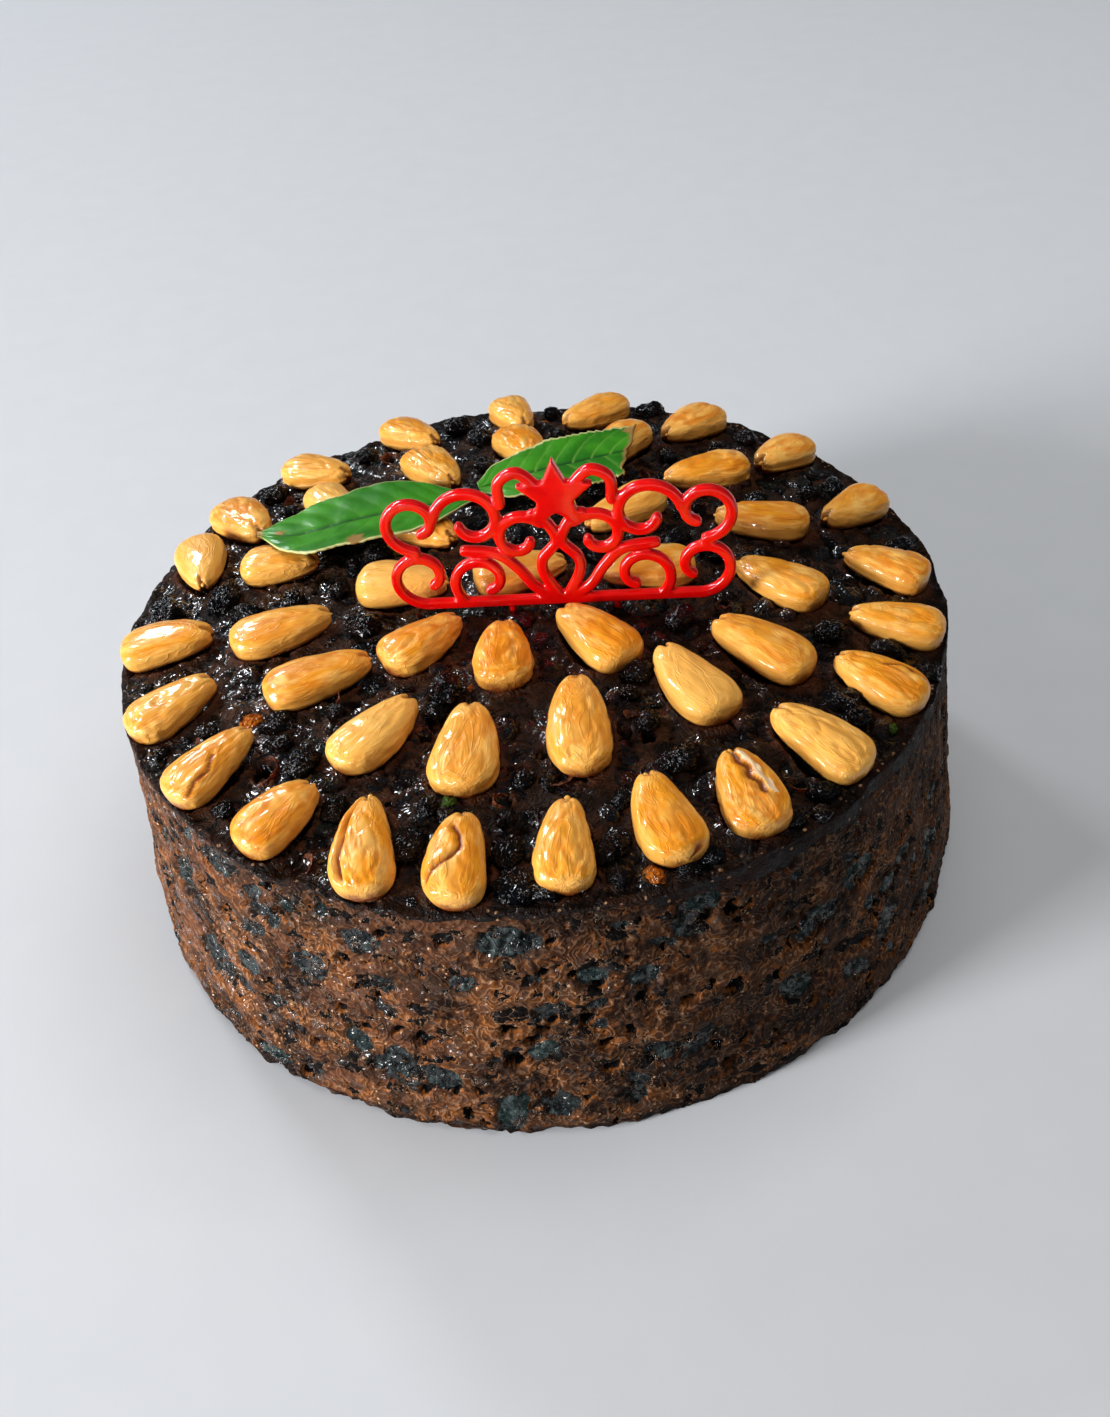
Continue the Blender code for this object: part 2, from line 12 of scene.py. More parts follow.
import bmesh
import bpy
import numpy as np
from bpy.types import Material, Mesh, Node, NodeSocket, NodeTree, Object
from mathutils import Matrix, Vector, noise
from mathutils.bvhtree import BVHTree
from mathutils.geometry import delaunay_2d_cdt


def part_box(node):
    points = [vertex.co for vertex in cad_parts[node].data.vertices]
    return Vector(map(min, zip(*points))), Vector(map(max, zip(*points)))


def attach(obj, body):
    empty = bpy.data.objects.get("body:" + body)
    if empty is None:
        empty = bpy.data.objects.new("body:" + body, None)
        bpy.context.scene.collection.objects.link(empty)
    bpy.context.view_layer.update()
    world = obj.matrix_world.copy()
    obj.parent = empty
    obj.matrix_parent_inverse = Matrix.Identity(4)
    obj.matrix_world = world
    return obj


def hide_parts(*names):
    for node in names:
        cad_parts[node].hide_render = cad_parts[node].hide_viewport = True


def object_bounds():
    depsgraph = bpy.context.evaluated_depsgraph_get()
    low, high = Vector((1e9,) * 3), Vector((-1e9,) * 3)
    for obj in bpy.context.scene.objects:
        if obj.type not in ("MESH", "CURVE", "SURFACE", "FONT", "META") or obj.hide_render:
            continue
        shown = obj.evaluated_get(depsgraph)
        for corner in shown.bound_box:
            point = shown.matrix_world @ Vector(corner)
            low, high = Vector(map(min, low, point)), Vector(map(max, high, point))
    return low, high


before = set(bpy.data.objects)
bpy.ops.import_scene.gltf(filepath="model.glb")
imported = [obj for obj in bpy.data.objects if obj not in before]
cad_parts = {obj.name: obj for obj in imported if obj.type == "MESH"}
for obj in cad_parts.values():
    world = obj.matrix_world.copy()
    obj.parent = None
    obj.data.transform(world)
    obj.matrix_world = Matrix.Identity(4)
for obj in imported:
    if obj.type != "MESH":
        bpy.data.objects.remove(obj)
CAD_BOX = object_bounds()

MM = 0.001
Colour = tuple[float, float, float]
Faces = list[tuple[int, ...]]
Array = np.ndarray
Marks = dict[str, Array]
Pair = tuple[Array, Array]
log = logging.getLogger("cake")


# Shader building

def rgba(value: object) -> object:
    """A colour with its alpha, or a socket as it is."""
    return value if isinstance(value, NodeSocket) else (*value, 1)


class Wiring:
    """Adds nodes to a shader tree and joins them up."""

    def __init__(self, tree: NodeTree) -> None:
        """Wires the given tree."""
        self.tree = tree

    def add(self, kind: str, inputs: dict | None = None, **settings: object) -> Node:
        """Makes a node.

        Args:
            kind: its type without the leading ShaderNode.
            inputs: values, or sockets to link from, by the name or number of the input.
            settings: properties of the node.
        Returns:
            The node.
        """
        node = self.tree.nodes.new("ShaderNode" + kind)
        for name, value in settings.items():
            setattr(node, name, value)
        for name, value in (inputs or {}).items():
            if isinstance(value, NodeSocket):
                self.tree.links.new(value, node.inputs[name])
            else:
                node.inputs[name].default_value = value
        return node

    def maths(self, operation: str, *values: object, clamp: bool = True) -> NodeSocket:
        """The result of a Math node on one or two values."""
        return self.add("Math", dict(enumerate(values)), operation=operation, use_clamp=clamp).outputs[0]

    def times(self, value: object, factor: object, clamp: bool = True) -> NodeSocket:
        """The product of two values."""
        return self.maths("MULTIPLY", value, factor, clamp=clamp)

    def mix(self, factor: object, low: object, high: object) -> NodeSocket:
        """A colour between two colours."""
        return self.add("Mix", {6: rgba(low), 7: rgba(high), 0: factor}, data_type="RGBA").outputs[2]

    def painted(self, colour: object, *coats: tuple) -> NodeSocket:
        """Paints coats over a colour.

        Args:
            colour: the colour below.
            coats: each coat's mask, its strength and its colour, the lowest first.
        Returns:
            The colour that shows.
        """
        for mask, strength, coat in coats:
            colour = self.mix(mask if strength == 1 else self.times(mask, strength), colour, coat)
        return colour

    def between(self, factor: object, low: object, high: object) -> NodeSocket:
        """A number between two numbers."""
        return self.add("Mix", {0: factor, 2: low, 3: high}, data_type="FLOAT").outputs[0]

    def step(self, value: object, start: object, end: object) -> NodeSocket:
        """A smooth step from 0 at the start to 1 at the end."""
        inputs = {"Value": value, "From Min": start, "From Max": end}
        return self.add("MapRange", inputs, interpolation_type="SMOOTHSTEP").outputs[0]

    def stretched(self, vector: object, factors: Colour) -> NodeSocket:
        """Coordinates multiplied axis by axis."""
        return self.add("VectorMath", {0: vector, 1: factors}, operation="MULTIPLY").outputs[0]

    def noise(self, vector: object, scale: object, detail: float = 3, warp: object = 0.0) -> NodeSocket:
        """Fractal noise from 0 to 1."""
        inputs = {"Vector": vector, "Scale": scale, "Detail": detail, "Distortion": warp}
        return self.add("TexNoise", inputs).outputs[0]

    def attribute(self, name: str, output: str = "Fac") -> NodeSocket:
        """A value that the mesh carries at its points."""
        return self.add("Attribute", attribute_name=name).outputs[output]

    def place(self) -> NodeSocket:
        """Coordinates fixed to the piece."""
        return self.add("TexCoord").outputs["Object"]

    def bump(self, height: object, distance: float, normal: object = None) -> NodeSocket:
        """A normal bent by a height from 0 to 1 that stands for a real distance."""
        inputs = {"Height": height, "Distance": distance, "Strength": 1.0}
        if normal is not None:
            inputs["Normal"] = normal
        return self.add("Bump", inputs).outputs[0]

    def effect(self, tree: NodeTree, vector: object, **inputs: object) -> NodeSocket:
        """The output of a shared effect placed with its own coordinates and values."""
        return self.add("Group", {"Vector": vector, **inputs}, node_tree=tree).outputs[0]

    def put_out(self, value: NodeSocket) -> NodeTree:
        """Links what a group puts out, and gives the finished group."""
        self.tree.links.new(value, self.tree.nodes.new("NodeGroupOutput").inputs[0])
        return self.tree


def new_group(name: str, output: str, **numbers: float) -> list:
    """Starts a shader node group with a vector, some numbers and one value put out.

    Args:
        name: the group's name.
        output: the name of what it puts out.
        numbers: each number input with its usual value.
    Returns:
        Its wiring, then the sockets that give its vector and its numbers.
    """
    tree = bpy.data.node_groups.new(name, "ShaderNodeTree")
    tree.interface.new_socket("Vector", in_out="INPUT", socket_type="NodeSocketVector")
    for number, usual in numbers.items():
        tree.interface.new_socket(number, in_out="INPUT", socket_type="NodeSocketFloat").default_value = usual
    tree.interface.new_socket(output, in_out="OUTPUT", socket_type="NodeSocketFloat")
    return [Wiring(tree), *tree.nodes.new("NodeGroupInput").outputs[: len(numbers) + 1]]


class Effects:
    """Surface effects that several finishes share, each a node group made once."""

    def __init__(self) -> None:
        """Makes every group."""
        self.patches = self._patches()
        self.folds = self._folds()
        self.specks = self._specks()
        self.curls = self._curls()
        self.chips = self._chips()
        self.torn = self._torn()

    @staticmethod
    def _patches() -> NodeTree:
        """Soft-edged patches: 0 outside, 1 inside."""
        made = new_group("patches", "Mask", Scale=100, Level=0.5, Softness=0.08)
        wiring, place, scale, level, softness = made
        cloud = wiring.noise(place, scale, detail=4, warp=0.4)
        low = wiring.maths("SUBTRACT", level, softness)
        high = wiring.maths("ADD", level, softness)
        return wiring.put_out(wiring.step(cloud, low, high))

    @staticmethod
    def _folds() -> NodeTree:
        """Winding creases: 1 on the skin, falling to 0 in narrow valleys."""
        wiring, place, scale, warp, narrow = new_group("folds", "Height", Scale=400, Warp=1.2, Narrow=0.22)
        cloud = wiring.noise(place, scale, detail=2, warp=warp)
        away = wiring.maths("ABSOLUTE", wiring.maths("SUBTRACT", cloud, 0.5, clamp=False))
        return wiring.put_out(wiring.step(away, 0.0, narrow))

    @staticmethod
    def _specks() -> NodeTree:
        """Scattered round specks of uneven size: 1 in their middles."""
        wiring, place, scale, size = new_group("specks", "Mask", Scale=500, Size=0.3)
        cells = wiring.add("TexVoronoi", {"Vector": place, "Scale": scale})
        own = wiring.add("SeparateColor", {0: cells.outputs["Color"]}).outputs[0]
        near = wiring.maths("SUBTRACT", wiring.times(own, size), cells.outputs["Distance"], clamp=False)
        return wiring.put_out(wiring.step(near, 0.0, 0.12))

    @staticmethod
    def _curls() -> NodeTree:
        """Fine ridges that curl beside each other: 1 on their tops, 0 in the valleys."""
        wiring, place, scale, ridges, warp = new_group("curls", "Height", Scale=110, Ridges=75, Warp=0.6)
        cloud = wiring.noise(place, scale, detail=3, warp=warp)
        wave = wiring.maths("SINE", wiring.times(cloud, ridges, clamp=False), clamp=False)
        return wiring.put_out(wiring.maths("MULTIPLY_ADD", wave, 0.5, 0.5))

    @staticmethod
    def _chips() -> NodeTree:
        """Torn angular chips, a share of the cells of an uneven net: 1 inside, 0 at their edges."""
        wiring, place, scale, share, edge = new_group("chips", "Mask", Scale=260, Share=0.1, Edge=0.1)
        finer = wiring.times(scale, 1.7, clamp=False)
        cloud = wiring.add("TexNoise", {"Vector": place, "Scale": finer, "Detail": 2.0})
        inputs = {0: cloud.outputs["Color"], 1: (0.5, 0.5, 0.5)}
        even = wiring.add("VectorMath", inputs, operation="SUBTRACT").outputs[0]
        reach = wiring.maths("DIVIDE", 1.8, scale, clamp=False)
        bend = wiring.add("VectorMath", {0: even, "Scale": reach}, operation="SCALE").outputs[0]
        spot = wiring.add("VectorMath", {0: place, 1: bend}, operation="ADD").outputs[0]
        inputs = {"Vector": spot, "Scale": scale}
        cells = wiring.add("TexVoronoi", inputs)
        edges = wiring.add("TexVoronoi", inputs, feature="DISTANCE_TO_EDGE")
        own = wiring.add("SeparateColor", {0: cells.outputs["Color"]}).outputs[0]
        chosen = wiring.maths("LESS_THAN", own, share)
        inside = wiring.step(edges.outputs["Distance"], 0.0, edge)
        return wiring.put_out(wiring.times(chosen, inside))

    @staticmethod
    def _torn() -> NodeTree:
        """A soft value made crisp with a torn outline: 0 outside, 1 inside."""
        made = new_group("torn", "Mask", Value=0, Scale=500, Raggedness=0.9)
        wiring, place, value, scale, raggedness = made
        cloud = wiring.noise(place, scale, detail=2)
        shift = wiring.times(wiring.maths("SUBTRACT", cloud, 0.5, clamp=False), raggedness, clamp=False)
        total = wiring.maths("ADD", value, shift, clamp=False)
        return wiring.put_out(wiring.step(total, 0.42, 0.56))


EFFECTS = Effects()


def crisp(wiring: Wiring, place: NodeSocket, mark: str, scale: float) -> NodeSocket:
    """A soft mark of the mesh made crisp, with a torn outline."""
    return wiring.effect(EFFECTS.torn, place, Value=wiring.attribute(mark), Scale=scale)


class Coating(Wiring):
    """The wiring of a new material."""

    def __init__(self, name: str) -> None:
        """Starts the material."""
        self.made = bpy.data.materials.new(name)
        self.made.use_nodes = True
        super().__init__(self.made.node_tree)

    def dressed(self, links: dict[str, object], **steady: float) -> Material:
        """Finishes the material.

        Args:
            links: sockets for the inputs of its shader that change over the surface.
            steady: values for other inputs, with _ for a space in their names.
        Returns:
            The material.
        """
        shader = self.tree.nodes["Principled BSDF"]
        for name, socket in links.items():
            self.tree.links.new(socket, shader.inputs[name])
        for name, value in steady.items():
            shader.inputs[name.replace("_", " ")].default_value = value
        return self.made


@dataclass(frozen=True)
class GlazedCrustFinish:
    """The top: dark baked batter under a sticky glaze, with raisin skins showing through, and painted shade
    in its cracks, holes and ridge valleys.
    """

    batter: Colour = (0.0165, 0.0078, 0.0045)
    leather: Colour = (0.0400, 0.0175, 0.0090)
    warm: Colour = (0.0520, 0.0195, 0.0080)
    # deep: near-black, for dark patches and glaze pools, and painted as shade into ridge valleys, cracks and
    # holes.
    deep: Colour = (0.0022, 0.0013, 0.0010)
    blue_fruit: Colour = (0.0016, 0.0021, 0.0030)
    red_fruit: Colour = (0.0130, 0.0036, 0.0024)
    green_fruit: Colour = (0.0030, 0.0062, 0.0045)
    rim: Colour = (0.150, 0.042, 0.0140)
    run: Colour = (0.0070, 0.0033, 0.0022)
    fleck: Colour = (0.3400, 0.1900, 0.1000)

    def material(self) -> Material:
        """Builds the material."""
        wiring = Coating("glazed_crust")
        place = wiring.place()
        warm = wiring.effect(EFFECTS.patches, place, Scale=80.0, Level=0.55, Softness=0.10)
        deep = wiring.effect(EFFECTS.patches, place, Scale=190.0, Level=0.55, Softness=0.06)
        curls = wiring.effect(EFFECTS.curls, place, Scale=95.0, Ridges=40.0, Warp=0.6)
        folds = wiring.effect(EFFECTS.folds, place, Scale=330.0, Warp=1.6, Narrow=0.16)
        specks = wiring.effect(EFFECTS.specks, place, Scale=650.0, Size=0.34)
        inside = crisp(wiring, place, "fruit", 420.0)
        hole_shade = crisp(wiring, place, "hole", 600.0)
        crevice_shade = crisp(wiring, place, "crevice", 700.0)
        left = wiring.step(wiring.add("SeparateXYZ", {0: place}).outputs["X"], 0.050, -0.060)
        # Paler, warmer brown towards the left.
        colour = wiring.mix(warm, wiring.mix(left, self.batter, self.leather), self.warm)
        # Painted shade in the valleys of the fine ridges.
        colour = wiring.mix(wiring.between(curls, 0.55, 0.0), colour, self.deep)
        colour = wiring.mix(deep, colour, self.deep)
        tone = wiring.attribute("tone")
        fruit = wiring.mix(wiring.step(tone, 0.50, 0.62), self.blue_fruit, self.red_fruit)
        fruit = wiring.mix(wiring.step(tone, 0.84, 0.90), fruit, self.green_fruit)
        run = wiring.attribute("run")
        # crevice_shade and hole_shade paint shade into the cracks and holes.
        colour = wiring.painted(
            colour, (inside, 1, fruit), (specks, 0.35, self.warm), (wiring.attribute("lip"), 1, self.rim),
            (crevice_shade, 0.85, self.deep), (hole_shade, 1, self.deep), (run, 0.7, self.run),
        )
        reach = wiring.add("VectorMath", {0: wiring.stretched(place, (1, 1, 0))}, operation="LENGTH")
        ring = wiring.step(reach.outputs["Value"], 0.076, 0.092)
        soaked = wiring.maths("MAXIMUM", left, ring)
        low, high = wiring.between(soaked, 0.54, 0.43), wiring.between(soaked, 0.64, 0.55)
        wet = wiring.step(wiring.noise(place, 150, detail=2), low, high)
        pools, crumbs = wiring.times(wet, ring), wiring.times(specks, run)
        colour = wiring.painted(colour, (pools, 0.75, self.deep), (crumbs, 0.8, self.fleck))
        shine = wiring.times(wiring.maths("MAXIMUM", wet, inside), wiring.between(run, 1.0, 0.12))
        normal = wiring.bump(curls, 0.10 * MM, wiring.bump(folds, 0.40 * MM))
        sheen = wiring.bump(wiring.noise(place, 215, detail=1, warp=1.2), 2.00 * MM)
        return wiring.dressed(
            {
                "Base Color": colour, "Roughness": wiring.between(shine, 0.62, 0.34), "Normal": normal,
                "Coat Weight": shine, "Coat Normal": sheen,
            },
            Specular_IOR_Level=0.10, Coat_Roughness=0.09,
        )


@dataclass(frozen=True)
class CrumbFinish:
    """The side: brown crumb with curling ridges, crisp holes, and raisins pressed flat against the tin. It is
    painted lighter on the left, where the window light falls, and darker on the right as painted shade, with
    painted shade in its hollows and painted highlights on its ridges, specks and hole edges.
    """

    # crumb is the side's colour on the right, darkened there as painted shade; window_lit_crumb is its
    # painted lit colour on the left.
    crumb: Colour = (0.0155, 0.0054, 0.0025)
    window_lit_crumb: Colour = (0.1300, 0.0480, 0.0215)
    warm: Colour = (0.1900, 0.0620, 0.0150)
    dark: Colour = (0.0145, 0.0060, 0.0034)
    orange: Colour = (0.3400, 0.1050, 0.0160)
    dull: Colour = (0.0400, 0.0210, 0.0130)
    fruit: Colour = (0.0022, 0.0038, 0.0046)
    green_fruit: Colour = (0.0020, 0.0110, 0.0100)
    bloom: Colour = (0.0900, 0.1220, 0.1180)
    # painted_shade: near-black, painted as shade into ridge valleys, cracks, holes and along the foot.
    painted_shade: Colour = (0.0030, 0.0013, 0.0009)
    # pale: painted highlight colour, for ridge tops, specks and the edges of holes.
    pale: Colour = (0.6200, 0.3700, 0.2100)

    def material(self) -> Material:
        """Builds the material."""
        wiring = Coating("crumb")
        place = wiring.place()
        flat = wiring.stretched(place, (1.0, 1.0, 1.7))
        glow = wiring.effect(EFFECTS.patches, flat, Scale=65.0, Level=0.53, Softness=0.10)
        dark = wiring.effect(EFFECTS.patches, place, Scale=38.0, Level=0.50, Softness=0.10)
        dull = wiring.effect(EFFECTS.patches, flat, Scale=130.0, Level=0.57, Softness=0.03)
        flecks = wiring.effect(EFFECTS.patches, place, Scale=560.0, Level=0.56, Softness=0.04)
        curls = wiring.effect(EFFECTS.curls, place, Scale=150.0, Ridges=64.0, Warp=0.2)
        pits = wiring.effect(EFFECTS.chips, place, Scale=430.0, Share=0.10, Edge=0.12)
        rifts = wiring.effect(EFFECTS.chips, flat, Scale=215.0, Share=0.075, Edge=0.09)
        axes = wiring.add("SeparateXYZ", {0: place}).outputs
        # 1 on the left of the side, 0 on the right: painted light from the window on the left, painted shade
        # on the right.
        left = wiring.step(axes["X"], 0.060, -0.085)
        glow = wiring.times(glow, wiring.step(axes["Z"], 0.062, 0.042))
        # The warm patches are painted stronger on the lit left.
        glow = wiring.times(glow, wiring.between(left, 0.60, 1.15))
        holes = wiring.maths("MAXIMUM", pits, rifts)
        hole_shade = crisp(wiring, place, "hole", 620.0)
        inside = crisp(wiring, place, "fruit", 460.0)
        # Marks of cracks and holes, where shade is painted.
        crevice_shade = crisp(wiring, place, "crevice", 800.0)
        # Painted light and shade: the side goes from lit and pale on the left to shaded and dark on the
        # right.
        colour = wiring.mix(dark, wiring.mix(left, self.crumb, self.window_lit_crumb), self.dark)
        dusty = wiring.effect(EFFECTS.patches, place, Scale=150.0, Level=0.52, Softness=0.05)
        # Pale specks: painted highlights, stronger on the lit left.
        highlight_specks = wiring.effect(EFFECTS.specks, place, Scale=820.0, Size=0.34)
        highlight_specks = wiring.times(highlight_specks, wiring.between(dusty, 0.15, 0.90))
        foot = wiring.step(axes["Z"], 0.0050, 0.0)
        foot = wiring.effect(EFFECTS.torn, place, Value=foot, Scale=420.0)
        tone = wiring.step(wiring.attribute("tone"), 0.62, 0.70)
        bloom = wiring.effect(EFFECTS.patches, place, Scale=480.0, Level=0.52, Softness=0.10)
        fruit = wiring.mix(tone, self.fruit, self.green_fruit)
        fruit = wiring.painted(fruit, (bloom, wiring.between(dusty, 0.15, 0.60), self.bloom))
        solid = wiring.maths("SUBTRACT", 1.0, holes)
        colour = wiring.painted(
            colour,
            (glow, 0.60, self.warm),
            (flecks, wiring.between(glow, 0.16, 0.55), self.orange),
            # Painted highlights on the ridge tops.
            (wiring.step(curls, 0.80, 0.99), wiring.between(glow, 0.10, 0.34), self.pale),
            # Painted shade in the ridge valleys.
            (wiring.step(curls, 0.45, 0.08), 0.26, self.painted_shade),
            (dull, 0.65, self.dull),
            # Painted highlight specks, stronger on the left.
            (highlight_specks, wiring.between(left, 0.5, 1.0), self.pale),
            # Painted shade along the foot, where the side meets the floor.
            (foot, 0.75, self.painted_shade),
            (inside, 1, fruit),
            (wiring.step(wiring.attribute("hole"), 0.03, 0.30), 0.45, self.orange),
            # Painted highlight along the edges of the holes.
            (wiring.times(holes, solid), 2.0, self.pale),
            # Painted shade inside the holes and cracks.
            (wiring.step(holes, 0.55, 0.90), 1, self.painted_shade),
            (crevice_shade, 0.60, self.painted_shade),
            (hole_shade, 1, self.painted_shade),
        )
        folds = wiring.effect(EFFECTS.folds, place, Scale=430.0, Warp=1.5, Narrow=0.20)
        relief = wiring.between(inside, wiring.times(curls, 0.45), folds)
        rough = wiring.between(left, 0.45, 1.0)
        grain = wiring.bump(wiring.times(wiring.noise(place, 620, detail=2), rough), 0.28 * MM)
        normal = wiring.bump(wiring.times(relief, rough), 0.36 * MM, grain)
        normal = wiring.bump(solid, 0.60 * MM, normal)
        sticky = wiring.effect(EFFECTS.patches, place, Scale=420.0, Level=0.58, Softness=0.03)
        spark = wiring.step(wiring.noise(place, 520, detail=1), 0.46, 0.57)
        shine = wiring.times(inside, wiring.between(spark, 0.12, 0.90))
        sticky = wiring.times(sticky, wiring.between(left, 0.10, 0.85))
        coat = wiring.maths("MAXIMUM", shine, sticky)
        sheen = wiring.bump(wiring.noise(place, 480, detail=1, warp=1.0), 1.60 * MM)
        return wiring.dressed(
            {"Base Color": colour, "Normal": normal, "Coat Weight": coat, "Coat Normal": sheen},
            Roughness=0.65, Specular_IOR_Level=0.07, Coat_Roughness=0.11,
        )


@dataclass(frozen=True)
class DriedFruitFinish:
    """Wrinkled dried fruit that shines where the glaze lies, in one skin colour with darker patches."""

    name: str = "raisin_skin"
    skin: Colour = (0.0018, 0.0023, 0.0034)
    other: Colour = (0.0070, 0.0030, 0.0024)
    roughness: tuple[float, float] = (0.02, 0.08)
    glow: float = 0.0

    def material(self) -> Material:
        """Builds the material."""
        wiring = Coating(self.name)
        place = wiring.place()
        patch = wiring.effect(EFFECTS.patches, place, Scale=160.0, Level=0.56, Softness=0.12)
        folds = wiring.effect(EFFECTS.folds, place, Scale=330.0, Warp=1.2, Narrow=0.14)
        colour = wiring.mix(patch, self.skin, self.other)
        rough = wiring.between(wiring.noise(place, 420, detail=2), *self.roughness)
        normal = wiring.bump(folds, 0.48 * MM)
        return wiring.dressed(
            {"Base Color": colour, "Roughness": rough, "Normal": normal},
            Specular_IOR_Level=0.24, Subsurface_Weight=self.glow, Subsurface_Scale=0.003,
        )


@dataclass(frozen=True)
class AlmondFinish:
    """Blanched almond under a clear caramel glaze: golden, cream flanks, amber where the glaze pools."""

    golden: Colour = (0.860, 0.330, 0.0150)
    cream: Colour = (0.960, 0.530, 0.1200)
    amber: Colour = (0.740, 0.215, 0.0060)
    # dark_brown: darker towards the underside and the blunt end's foot and in the tip's notch, and painted as
    # shade along partings.
    dark_brown: Colour = (0.230, 0.052, 0.0070)
    flesh: Colour = (0.830, 0.580, 0.3300)

    def material(self) -> Material:
        """Builds the material."""
        wiring = Coating("glazed_almond")
        grain = wiring.attribute("grain", "Vector")
        streaks = wiring.noise(wiring.stretched(grain, (1.9, 2.8, 2.8)), 1.0, detail=2, warp=0.6)
        cloud = wiring.noise(wiring.stretched(grain, (1.3, 1.5, 1.5)), 1.0, detail=2)
        pools = wiring.noise(wiring.stretched(grain, (-1.6, 1.9, -1.9)), 1.0, detail=3, warp=0.6)
        face = wiring.attribute("face")
        pale = wiring.attribute("pale")
        pooled = wiring.times(wiring.step(pools, 0.42, 0.62), wiring.attribute("amber"))
        specks = wiring.effect(EFFECTS.specks, grain, Scale=9.0, Size=0.24)
        colour = wiring.painted(
            self.cream,
            (wiring.between(face, 0.30, wiring.step(cloud, 0.66, 0.40)), 1, self.golden),
            (wiring.step(streaks, 0.50, 0.66), wiring.between(face, 0.15, 0.60), self.amber),
            (pale, 1, self.cream),
            (pooled, wiring.between(face, 0.35, 1.0), self.amber),
            (wiring.attribute("crease"), 0.65, self.amber),
            (wiring.step(pale, 0.78, 0.98), 1, self.flesh),
            # Darker brown underneath, in the notch and at the blunt end's foot, and painted shade along
            # partings.
            (wiring.attribute("low"), 1, self.dark_brown),
            (specks, 0.45, self.amber),
        )
        rough = wiring.between(streaks, 0.26, 0.42)
        lengthwise = wiring.stretched(grain, (0.6, 1.5, 1.5))
        lines = wiring.effect(EFFECTS.folds, lengthwise, Scale=1.7, Warp=1.0, Narrow=0.07)
        uneven = wiring.noise(wiring.stretched(grain, (3.2, 4.6, 4.6)), 1.0, detail=1)
        uneven = wiring.times(uneven, wiring.between(pale, 1.0, 0.4))
        normal = wiring.bump(uneven, 0.24 * MM)
        normal = wiring.bump(lines, 0.06 * MM, normal)
        return wiring.dressed(
            {"Base Color": colour, "Roughness": rough, "Normal": normal},
            Specular_IOR_Level=0.22, Coat_Weight=0.40, Coat_Roughness=0.07,
        )


@dataclass(frozen=True)
class LeafFinish:
    """A fresh waxy leaf: deep green blade, paler veins and a thin yellowish edge."""

    blade: Colour = (0.019, 0.160, 0.006)
    light: Colour = (0.048, 0.275, 0.010)
    deep: Colour = (0.006, 0.050, 0.010)
    vein: Colour = (0.170, 0.360, 0.050)
    edge: Colour = (0.560, 0.560, 0.230)
    blemish: Colour = (0.330, 0.190, 0.055)

    def material(self) -> Material:
        """Builds the material."""
        wiring = Coating("leaf")
        place = wiring.place()
        light = wiring.effect(EFFECTS.patches, place, Scale=75.0, Level=0.52, Softness=0.14)
        colour = wiring.painted(
            self.blade, (light, 1, self.light), (wiring.attribute("midrib"), 1, self.deep),
            (wiring.attribute("vein"), 0.80, self.vein), (wiring.attribute("edge"), 1, self.edge),
            (wiring.attribute("blemish"), 1, self.blemish),
        )
        rough = wiring.between(wiring.noise(place, 300, detail=3), 0.34, 0.50)
        fine = wiring.bump(wiring.noise(place, 260, detail=3), 0.22 * MM)
        return wiring.dressed(
            {"Base Color": colour, "Roughness": rough, "Normal": fine},
            Specular_IOR_Level=0.15, Coat_Weight=0.16, Coat_Roughness=0.14,
        )


@dataclass(frozen=True)
class MouldedPlasticFinish:
    """Bright red moulded plastic, glossy, with faint flow marks."""

    red: Colour = (0.800, 0.0030, 0.0018)
    deep: Colour = (0.640, 0.0012, 0.0015)

    def material(self) -> Material:
        """Builds the material."""
        wiring = Coating("red_plastic")
        place = wiring.place()
        cloud = wiring.noise(place, 120, detail=3, warp=0.6)
        colour = wiring.mix(wiring.step(cloud, 0.35, 0.7), self.red, self.deep)
        rough = wiring.between(wiring.noise(place, 500, detail=3), 0.10, 0.20)
        normal = wiring.bump(wiring.noise(place, 350, detail=2), 0.05 * MM)
        return wiring.dressed(
            {"Base Color": colour, "Roughness": rough, "Normal": normal},
            Specular_IOR_Level=0.5, Coat_Weight=0.4, Coat_Roughness=0.05,
        )


@dataclass(frozen=True)
class FloorFinish:
    """A plain pale studio floor."""

    pale: Colour = (0.63, 0.645, 0.665)
    shade: Colour = (0.59, 0.61, 0.635)

    def material(self) -> Material:
        """Builds the material."""
        wiring = Coating("floor")
        colour = wiring.mix(wiring.noise(wiring.place(), 60, detail=4), self.pale, self.shade)
        return wiring.dressed({"Base Color": colour}, Roughness=0.8)


# Mesh building

def linked(name: str, data: object) -> Object:
    """A new object with the given data, linked to the scene."""
    obj = bpy.data.objects.new(name, data)
    bpy.context.scene.collection.objects.link(obj)
    return obj


def mesh_object(name: str, points: Array, faces: list, finish: Material, marks: Marks) -> Object:
    """Makes a smoothly shaded object.

    Args:
        name: the piece's name.
        points: one row for each point.
        faces: point numbers of each face.
        finish: its material.
        marks: values carried at the points, by name, as numbers or vectors.
    Returns:
        The object, linked to the scene.
    """
    data = bpy.data.meshes.new(name)
    data.from_pydata(points.tolist(), [], faces)
    for mark, values in marks.items():
        vector = values.ndim == 2
        layer = data.attributes.new(mark, "FLOAT_VECTOR" if vector else "FLOAT", "POINT")
        layer.data.foreach_set("vector" if vector else "value", values.astype(np.float32).ravel())
    data.shade_smooth()
    data.materials.append(finish)
    return linked(name, data)


